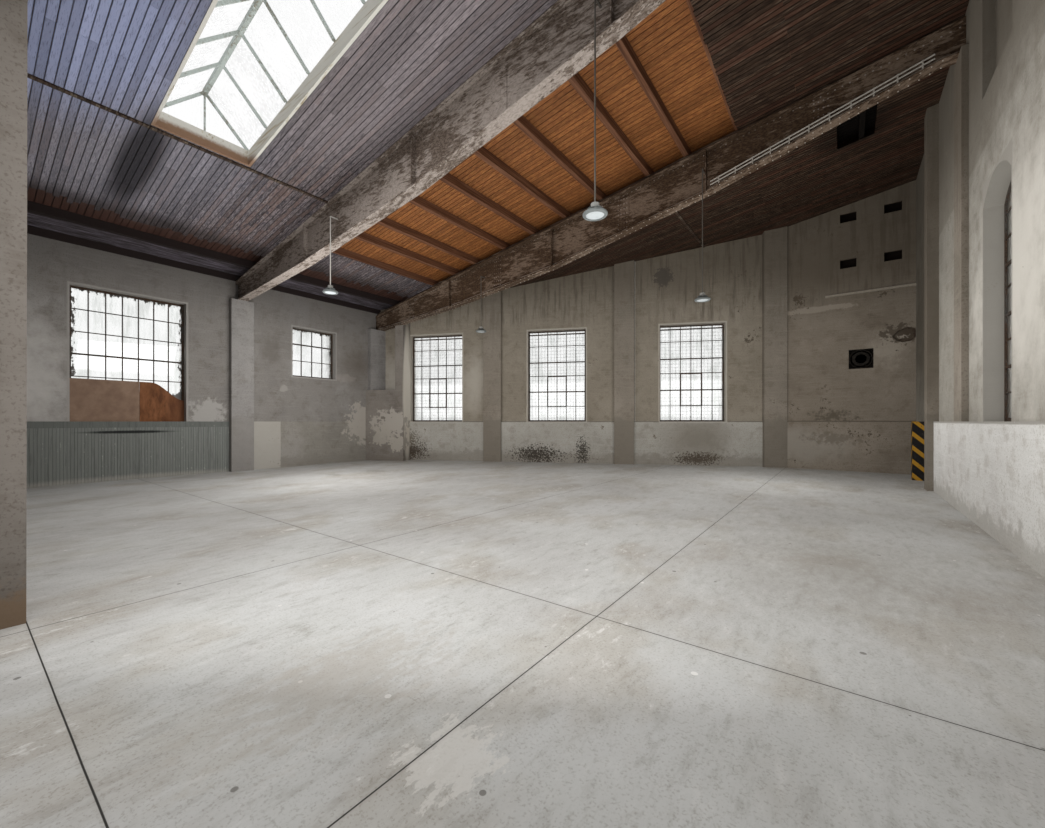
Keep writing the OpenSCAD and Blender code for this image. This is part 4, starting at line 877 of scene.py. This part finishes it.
# CAD nodes that keep their shape
dress(concrete, "floor_slab")
dress(plaster_left, "left_wall_piers", "left_wall_head")
dress(plaster_base, "left_wall_base")
dress(plaster_back, "back_wall_piers", "back_wall_head")
dress(dado_back, "back_wall_base")
dress(plaster_end, "end_wall")
dress(render_right, "right_wall_base")
dress(plaster_right, "right_wall_piers", "right_wall_head")
dress(dado_right, "right_dado")
dress(plaster_front, "front_wall_left", "front_wall_right", "front_lintel")
dress(plaster_left_pilasters, "left_pilasters")
dress(plaster_pilasters, "back_pilasters", "right_pilasters")
dress(plaster_corner, "corner_block")
dress(girder_steel, "girder_1")
dress(girder_steel_rear, "girder_2")
dress(packing_timber, "girder_packing", "lining_battens")
dress(purlin_timber, "purlins")
dress(eaves_timber, "eaves_planks")
dress(felt, "roof_felt")
dress(curb_timber, "skylight_curb")
dress(sky_steel, "skylight_ridge", "skylight_rafters")
dress(pane_roof, "skylight_glass")
dress(bar_steel, "window_frames")
dress(pane_dirty, "window_glass")
dress(board_brown, "brown_board")
dress(board_red, "cut_board")
dress(stem_enamel, "lamp_stems")
dress(plastic_white, "conduits")
dress(plastic_dusty, "cable_trunking")
dress(guard_paint, "corner_guard")

# Pieces that scene.py makes
rng = random.Random(26)


def back_start(y, d=0.0):
    """Where the slanting back wall, moved out by d, meets a line at y."""
    corner = SKEW_CORNER - d * math.tan(SKEW) + d / math.cos(SKEW)
    return -d + (y - corner) / math.tan(SKEW) if y > corner else -d


def board_rows(spans, y0, y1, width, lift, stagger=0.0, shortest=1.9, gap=0.004):
    """Marks for boards that run up the slope between y0 and y1. Each span is (start, end), places
    or functions of y, and boards are butted on the purlins, where they aren't too short for it."""
    rows = []
    n = max(1, round((y1 - y0) / width))
    step = (y1 - y0) / n
    for i in range(n):
        y = y0 + (i + 0.5) * step
        for span in spans:
            a, b = (end(y) if callable(end) else end for end in span)
            if b - a < 0.05:
                continue
            a -= rng.uniform(0, stagger)
            cuts = [a]
            for j in map(purlin_x, range(15)):
                if j > cuts[-1] + shortest and j < b - 0.6 and rng.random() < 0.45:
                    cuts.append(j)
            cuts.append(b)
            for p, q in zip(cuts, cuts[1:]):
                run = (q - p - gap) / math.cos(PITCH)
                rows.append((((p + q) / 2 / math.cos(PITCH), y, lift), run, ALONG, rng.random()))
    return rows


def lining(y0, y1, spans, stagger=0.0):
    """Marks for the old ceiling boards, 100 mm from one to the next."""
    return board_rows(spans, y0, y1, width=0.1, lift=-0.010, stagger=stagger, shortest=0.9)


def torn_edge(y):
    """Where the old boards start: torn off short of the low wall, or cut to the slanting one."""
    return max(TORN_X, back_start(y - 0.05))


# The well of the roof light, the stripped bay between the girders, and a hole in the back bay
WELL_X0, WELL_X1 = SKY_X - CURB_T, SKY_X + SKY_L + CURB_T
WELL_Y0, WELL_Y1 = SKY_Y - CURB_T, SKY_Y + SKY_W + CURB_T
TORN_X = purlin_x(1) - 0.05
BAY_Y0, BAY_Y1, BACK_Y0 = GIRDER_Y[0] + FLANGE_W / 2, GIRDER_Y[1] - 0.06, GIRDER_Y[1] + 0.06
HOLE_X0, HOLE_X1, HOLE_Y0, HOLE_Y1 = 14.02, 14.68, 10.45, 12.25

front_bay = (lining(0, WELL_Y0, [(TORN_X, HALL_W)], 0.2)
             + lining(WELL_Y0, WELL_Y1, [(TORN_X, WELL_X0)], 0.2)
             + lining(WELL_Y0, WELL_Y1, [(WELL_X1, HALL_W)])
             + lining(WELL_Y1, GIRDER_Y[0] - FLANGE_W / 2, [(TORN_X, HALL_W)], 0.2)
             + lining(BAY_Y0, BAY_Y1, [(TORN_X, purlin_x(2))], 0.25))
rear_bay = (lining(BAY_Y0, BAY_Y1, [(purlin_x(11), HALL_W)], 0.02)
            + lining(BACK_Y0, HOLE_Y0, [(torn_edge, HALL_W)])
            + lining(HOLE_Y0, HOLE_Y1, [(torn_edge, HOLE_X0), (HOLE_X1, HALL_W)])
            + lining(HOLE_Y1, HALL_L, [(torn_edge, HALL_W)]))
for name, rows, timber in (("ceiling_boards_front", front_bay, old_boards),
                           ("ceiling_boards_back", rear_bay, back_boards)):
    boards = straight(name, rows, 0.094, 0.018, timber, SLOPE,
                      seed=3, play=0.001, lift=0.0008, roll=0.012)
    finish_piece(boards, "old_ceiling_boards", "ceiling_lining")

# Roof boards over the whole hall and its eaves, round the well
EDGE = WALL_T + OVERHANG
deck = []


def deck_start(y):
    """Where the roof boards start: on the first purlin, or over the slanting wall's outer edge."""
    return max(purlin_x(0), back_start(y + 0.07, EDGE))


for y0, y1, spans in (
        (-EDGE, WELL_Y0, [(deck_start, HALL_W + EDGE)]),
        (WELL_Y0, WELL_Y1, [(deck_start, WELL_X0), (WELL_X1, HALL_W + EDGE)]),
        (WELL_Y1, HALL_L + EDGE, [(deck_start, HALL_W + EDGE)])):
    deck += board_rows(spans, y0, y1, width=0.12, lift=PURLIN_D + DECK_T / 2)
decking = straight("deck_boards", deck, 0.112, 0.023, deck_timber, SLOPE,
                   seed=5, play=0.0005, lift=0.0006, roll=0.006)
finish_piece(decking, "new_timber", "roof_boards")

# Matchboard on the foot of the low wall, with its capping rail
MATCH_X, MATCH_Y, MATCH_STEP, MATCHES = 0.013, 0.029, 0.0581, 80
MATCH_H, MATCH_L, RAIL_X, RAIL_H = 1.30, 4.65, 0.014, 0.15
ON_LOW_WALL = Matrix.Translation(hall(0, 0, 0))
match = [((MATCH_X, MATCH_Y + i * MATCH_STEP, MATCH_H / 2), MATCH_H, UPRIGHT, rng.random())
         for i in range(MATCHES)]
capping = [((RAIL_X, MATCH_L / 2, MATCH_H + RAIL_H / 2), MATCH_L, LEVEL, 0.5)]
finish_piece(join("wainscot", [
    straight("wainscot_boards", match, 0.056, 0.022, wainscot_timber, ON_LOW_WALL, seed=9, play=0.0004),
    straight("wainscot_rail", capping, 0.026, RAIL_H, wainscot_timber, ON_LOW_WALL)]),
    "painted_boards", "left_wainscot")

# Window bars: upright and level T bars on the glass line, heavier at the transoms
GLASS_Y, CASEMENT_Y, FRAME_IN, BAR_IN, CASEMENT_DROP = 0.22, 0.205, 0.03, 0.02, 0.02
LIGHT_BAR, HEAVY_BAR = (0.036, 0.020), (0.046, 0.038)


def bars(name, wall, window, columns, levels, casement=None, arch=None):
    """A window's bars. Levels are (height, whether heavy), casement is (first column, last
    column, low level, high level), and arch gives the head's height at a place."""
    middle, half, foot, head = window
    light, heavy = [], []
    step = (2 * half - 2 * FRAME_IN) / columns
    for i in range(1, columns):
        x = -half + FRAME_IN + i * step
        top = arch(x) if arch else head - foot - FRAME_IN
        light.append(((x, GLASS_Y, (FRAME_IN + top) / 2), top - FRAME_IN, UPRIGHT, rng.random()))
    for z, thick in levels:
        (heavy if thick else light).append(((0, GLASS_Y, z), 2 * (half - BAR_IN), ALONG, rng.random()))
    if casement:
        c0, c1, z0, z1 = casement
        x0, x1 = -half + FRAME_IN + c0 * step, -half + FRAME_IN + c1 * step
        heavy += [((x, CASEMENT_Y, (z0 + z1) / 2), z1 - z0, UPRIGHT, tone)
                  for x, tone in ((x0, 0.3), (x1, 0.6))]
        heavy += [(((x0 + x1) / 2, CASEMENT_Y, z), x1 - x0, ALONG, tone)
                  for z, tone in ((z1 - CASEMENT_DROP, 0.2), (z0, 0.8))]
    at = wall @ Matrix.Translation((middle, 0, foot))
    return [straight(name + "_light", light, *LIGHT_BAR, bar_steel, at),
            straight(name + "_heavy", heavy, *HEAVY_BAR, bar_steel, at)]


def flat_arch(x):
    """Height of the flat arch over the tall wall's windows, at x from a window's middle."""
    _, half, _, crown = RIGHT_WINDOWS[0]
    radius = (half ** 2 + ARCH_RISE ** 2) / (2 * ARCH_RISE)
    return crown - radius + math.sqrt((radius - FRAME_IN) ** 2 - x * x)


made = []
for i, window in enumerate(BACK_WINDOWS):
    made += bars("back_%d" % i, BACK_WALL, window, 6, [
        (0.53, False), (1.06, True), (1.63, False), (2.11, True), (2.69, False), (3.11, True)],
        (2, 4, 0.53, 1.63))
made += bars("large", LEFT_WALL, LARGE_WINDOW, 7, [
    (0.53, False), (1.07, False), (1.60, True), (2.13, False), (2.66, False)])
made += bars("small", LEFT_WALL, SMALL_WINDOW, 4, [(0.54, False), (1.08, True)])
for i, window in enumerate(RIGHT_WINDOWS):
    made += bars("right_%d" % i, RIGHT_WALL, window, 4, [
        (0.39, False), (0.74, True), (1.11, False), (1.45, True), (1.83, False), (2.13, True), (2.50, False),
        (2.85, False)], arch=flat_arch)
finish_piece(join("window_bars", made), "window_steel")

# Welded mesh outside the back windows, wires 115 mm apart
UP_WIRES, LEVEL_WIRES, UP_WIRE_Y, LEVEL_WIRE_Y = 18, 28, 0.403, 0.400
wires = []
for middle, half, foot, head in BACK_WINDOWS:
    for k in range(1, UP_WIRES):
        x = middle - half + k * 2 * half / UP_WIRES
        wires.append(((x, UP_WIRE_Y, head / 2), head, UPRIGHT, rng.random()))
    for k in range(1, LEVEL_WIRES):
        wires.append(((middle, LEVEL_WIRE_Y, k * head / LEVEL_WIRES), 2 * half, ALONG, rng.random()))
mesh = straight("window_mesh_wires", wires, 0.008, 0.006, wire_steel, BACK_WALL)
finish_piece(mesh, "wire_mesh", "window_mesh")

# Girders: angles that join web and flanges, splice plates, and rivet heads along them
DEPTHS = ((-0.15, 0.56), (0.26, 0.56), (HALL_W / 4, 0.93), (HALL_W / 2, 1.08), (HALL_W * 3 / 4, 0.93),
          (HALL_W - 0.26, 0.56), (HALL_W + 0.15, 0.56))
LEG, THICK = 0.075, 0.009
BEARING, STIFFENER, RIVET_END, RIVET_UP = 0.3, 0.009, 0.05, LEG * 0.6
FLANGE_ROW = 0.095  # from the girder's middle to the rivets on each side
SPLICES, SPLICE_HALF, SPLICE_T, SPLICE_GAP = (-5.9, -1.95, 2.0, 5.95), 0.16, 0.010, 0.02
SPLICE_ROWS, SPLICE_END = (-0.11, -0.04, 0.04, 0.11), 0.03


def belly(drop):
    """Underside of a girder, in the model's x and z, within the hall. It is level at its bearings."""
    path = [(x, ceiling_at(0 if x < BEARING else HALL_W if x > HALL_W - BEARING else x) - drop - d)
            for x, d in DEPTHS]
    path[0], path[-1] = (0.002, path[0][1]), (HALL_W - 0.002, path[-1][1])
    return [(x - HALL_W / 2, z + FLOOR_Z) for x, z in path]


def at_depth(path, x):
    """Height of a path at x."""
    for (x0, z0), (x1, z1) in zip(path, path[1:]):
        if x <= x1:
            return z0 + (z1 - z0) * (x - x0) / (x1 - x0)
    return path[-1][1]


made, web_lines, under_lines = [], [], []
for y, drop, steel in zip(GIRDER_Y, GIRDER_DROP, (girder_steel, girder_steel_rear)):
    y -= HALL_L / 2
    low = belly(drop)
    high = [(x, ceiling_at(x + HALL_W / 2) - drop + FLOOR_Z - FLANGE_T) for x, _ in (low[0], low[-1])]
    # Lengths of angle run from one stiffener to the next
    stops = [low[0][0]]
    for x, _ in low[2:5]:
        stops += [x - STIFFENER, x + STIFFENER]
    stops.append(low[-1][0])
    for side in (-1, 1):
        web = y + side * WEB_T / 2
        leg, outer = web + side * THICK, web + side * LEG
        up = [(web, FLANGE_T), (outer, FLANGE_T), (outer, FLANGE_T + THICK), (leg, FLANGE_T + THICK),
              (leg, FLANGE_T + LEG), (web, FLANGE_T + LEG)]
        down = [(a, FLANGE_T - b) for a, b in up]
        for a, b in zip(stops[::2], stops[1::2]):
            path = [(a, at_depth(low, a))] + [p for p in low if a < p[0] < b] + [(b, at_depth(low, b))]
            made.append(swept("angle", up, path, flange_steel))
            made.append(swept("angle", down, [(x, at_depth(high, x)) for x, _ in path], steel))
            ends = [a + RIVET_END, b - RIVET_END]
            row = [(ends[0], path[0][1])] + path[1:-1] + [(ends[1], path[-1][1])]
            web_lines.append([(x, leg, z + FLANGE_T + RIVET_UP) for x, z in row])
            web_lines.append([(x, leg, at_depth(high, x) - RIVET_UP) for x in ends])
        # Rivets through the lower flange, seen from below
        under_lines.append([(x, y + side * FLANGE_ROW, z) for x, z in low[1:-1]])
        # Splice plates on the web, between the stiffeners
        for x in SPLICES:
            z0 = at_depth(low, x) + FLANGE_T + LEG + SPLICE_GAP
            z1 = at_depth(high, x) - LEG - SPLICE_GAP
            outer_face = web + side * SPLICE_T
            x0, x1 = x - SPLICE_HALF, x + SPLICE_HALF
            corners = [(x0, z0), (x1, z0), (x1, z1), (x0, z1)]
            made.append(tube("splice", [(a, b, c) for b in (web, outer_face) for a, c in corners], 4, steel))
            for off in SPLICE_ROWS:
                web_lines.append([(x + off, outer_face, z) for z in (z0 + SPLICE_END, z1 - SPLICE_END)])
finish_piece(join("girder_angles", made), "old_painted_steel")
made = [grow(name, lines(rows), rivets_on_lines,
             {"Pitch": pitch, "Head": 0.014, "Proud": proud, "Finish": steel})
        for name, rows, pitch, proud, steel in (("web_rivets", web_lines, 0.11, 0.010, girder_steel),
                                                ("flange_rivets", under_lines, 0.14, 0.014, flange_steel))]
finish_piece(join("girder_rivets", made), "old_painted_steel")

# Lamps: a cast disc with a rim, an opal lens, cooling fins and a driver box. Their profiles are
# (radius, height), and each lamp has its girder, its x and its height
DISC = [(0.118, 0.012), (0.122, 0.002), (0.136, 0.0), (0.150, 0.004), (0.160, 0.016), (0.160, 0.030),
        (0.152, 0.042), (0.130, 0.052), (0.090, 0.056)]
LENS = [(0.02, 0.0085), (0.06, 0.0075), (0.10, 0.0085), (0.1175, 0.011), (0.1175, 0.016)]
DRIVER = [(0.052, 0.052), (0.052, 0.105), (0.055, 0.110), (0.055, 0.160), (0.046, 0.168), (0.016, 0.170),
          (0.013, 0.1705)]
LAMP_OUT, FINS_Z = FLANGE_W / 2 + 0.045, 0.076
made = []
LAMPS = ((0, HALL_W / 3, 4.26), (0, HALL_W * 3 / 4 - 0.185, 4.11),
         (1, HALL_W / 3 + 0.15, 4.17), (1, HALL_W * 3 / 4 - 0.045, 4.05))
for g, x, z in LAMPS:
    at = Matrix.Translation(hall(x, GIRDER_Y[g] - LAMP_OUT, z))
    made += [turned("lamp", DISC, lamp_grey, at), turned("lens", LENS, lamp_lens, at),
             turned("driver", DRIVER, lamp_white, at, 24),
             ring("fins", 26, 0.045, 0.099, 0.044, 0.003, lamp_grey, at @ Matrix.Translation((0, 0, FINS_Z)))]
finish_piece(join("lamp_heads", made), "lamp_metal", "lamp_discs")

# Fan in the end wall: ring, blades, hub and a wire guard in front of a shut louvre
FAN_X, FAN_Z, FAN_HALF = 1.90, 2.98, 0.28
GUARD_Z, BLADE_Z, LOUVRE_Z, RIM_AT = 0.012, 0.085, 0.150, 0.272
fan_at = (Matrix.Translation(hall(BEND_X + FAN_X + FAN_HALF, HALL_L, FAN_Z + FAN_HALF))
          @ Matrix.Rotation(math.radians(-90), 4, "X"))
made = [turned("shroud", [(0.245, 0.060), (0.245, 0.010), (0.262, 0.004), (0.268, 0.010), (0.268, 0.060)],
               fan_black, fan_at),
        turned("hub", [(0.01, 0.030), (0.035, 0.032), (0.055, 0.044), (0.056, 0.120), (0.05, 0.125)],
               fan_black, fan_at, 24),
        ring("blades", 5, 0.045, 0.235, 0.012, 0.13, fan_black,
             fan_at @ Matrix.Translation((0, 0, BLADE_Z)), 0.45),
        ring("guard", 12, 0.02, 0.26, 0.004, 0.004, fan_black, fan_at @ Matrix.Translation((0, 0, GUARD_Z)))]
louvres = [((0, -0.245 + k * 0.07, LOUVRE_Z), 0.555, (math.radians(55), 0, 0), rng.random())
           for k in range(8)]
made.append(straight("louvre", louvres, 0.085, 0.004, fan_black, fan_at))
for r in (0.20, 0.13, 0.065):
    wire = [(r - 0.002, 0.010), (r + 0.002, 0.010), (r + 0.002, 0.014), (r - 0.002, 0.014)]
    made.append(turned("guard_ring", wire, fan_black, fan_at))
rim = [((0, s * RIM_AT, 0.02), 0.558, ALONG, 0.5) for s in (-1, 1)]
rim += [((s * RIM_AT, 0, 0.02), 0.53, LEVEL, 0.5) for s in (-1, 1)]
made.append(straight("fan_rim", rim, 0.014, 0.036, fan_black, fan_at))
square = [(-FAN_HALF, -FAN_HALF), (FAN_HALF, -FAN_HALF), (FAN_HALF, FAN_HALF), (-FAN_HALF, FAN_HALF)]
made.append(tube("fan_back", [(x, y, z) for z in (0.160, 0.167) for x, y in square], 4, fan_black, fan_at))
finish_piece(join("fan", made), "fan_metal", "wall_fan")

# Stage: pale floor, white surroundings and soft light
REACH = 60
corners = [(-REACH, -REACH), (REACH, -REACH), (REACH, REACH), (-REACH, REACH)]
ground = shape("ground", [(x, y, -0.004) for x, y in corners], [(0, 1, 2, 3)],
               enamel("pale floor", "#dededc", "#d4d4d2", 0.9, 0.2))

world = bpy.data.worlds.new("white surroundings")
world.use_nodes = True
sky = world.node_tree
sky.nodes.clear()
ray = add(sky, "ShaderNodeLightPath").outputs
seen = add(sky, "ShaderNodeMath", {0: ray["Is Camera Ray"], 1: ray["Is Glossy Ray"]}, operation="MAXIMUM")
seen = add(sky, "ShaderNodeMath", {0: seen, 1: ray["Is Transmission Ray"]}, operation="MAXIMUM")
level = add(sky, "ShaderNodeMapRange", {0: seen, 3: 0.85, 4: 1.0})
add(sky, "ShaderNodeOutputWorld", {0: add(sky, "ShaderNodeBackground", {0: "#ffffff", 1: level})})
bpy.context.scene.world = world


def unseen_lamp(name, kind, power, place, **settings):
    """A lamp that gives light but isn't seen itself."""
    lamp = bpy.data.lights.new(name, kind)
    lamp.energy = power
    for key, value in settings.items():
        setattr(lamp, key, value)
    lamp_object = add_object(name, lamp)
    lamp_object.location = place
    lamp_object.visible_camera = False
    lamp_object.visible_glossy = False
    return lamp_object


def sheet_light(name, breadth, length, power, place, aim):
    """A soft sheet of light that faces a point."""
    sheet = unseen_lamp(name, "AREA", power, place, shape="RECTANGLE", size=breadth, size_y=length)
    sheet.rotation_euler = (Vector(aim) - Vector(place)).to_track_quat("-Z", "Y").to_euler()


sheet_light("gateway_light", 4.6, 3.6, 105, hall(12.0, 0.9, 2.4), hall(6.0, 10.0, 2.2))
sheet_light("upward_light", 9.0, 6.0, 225, hall(8.5, 4.5, 0.6), hall(8.5, 4.6, 8.0))
sheet_light("overhead_light", 5.0, 4.0, 75, hall(11.5, 2.2, 4.9), hall(11.5, 2.21, 0.0))
sheet_light("roof_light", 1.1, 4.6, 175, hall(7.77, 2.46, 6.72), hall(8.84, 2.46, 0.0))
for i, (middle, *_) in enumerate(BACK_WINDOWS):
    sheet_light("window_light_%d" % (i + 1), 1.9, 3.0, 6, BACK_WALL @ Vector((middle, 0.15, 1.6)),
                BACK_WALL @ Vector((middle, -4.0, 0.2)))
sheet_light("large_window_light", 1.9, 1.9, 6, hall(-0.15, 2.5, 3.6), hall(5.0, 2.6, 1.5))
for name, radius, power, place in (
        ("left_glow", 1.4, 380, hall(4.2, 5.5, 2.6)), ("middle_glow", 1.4, 80, hall(8.0, 9.0, 2.7)),
        ("right_glow", 1.4, 290, hall(12.6, 11.0, 2.9)), ("near_glow", 1.2, 140, hall(13.2, 5.0, 3.0))):
    unseen_lamp(name, "POINT", power, place, shadow_soft_size=radius)

bpy.context.scene.view_settings.view_transform = "Standard"
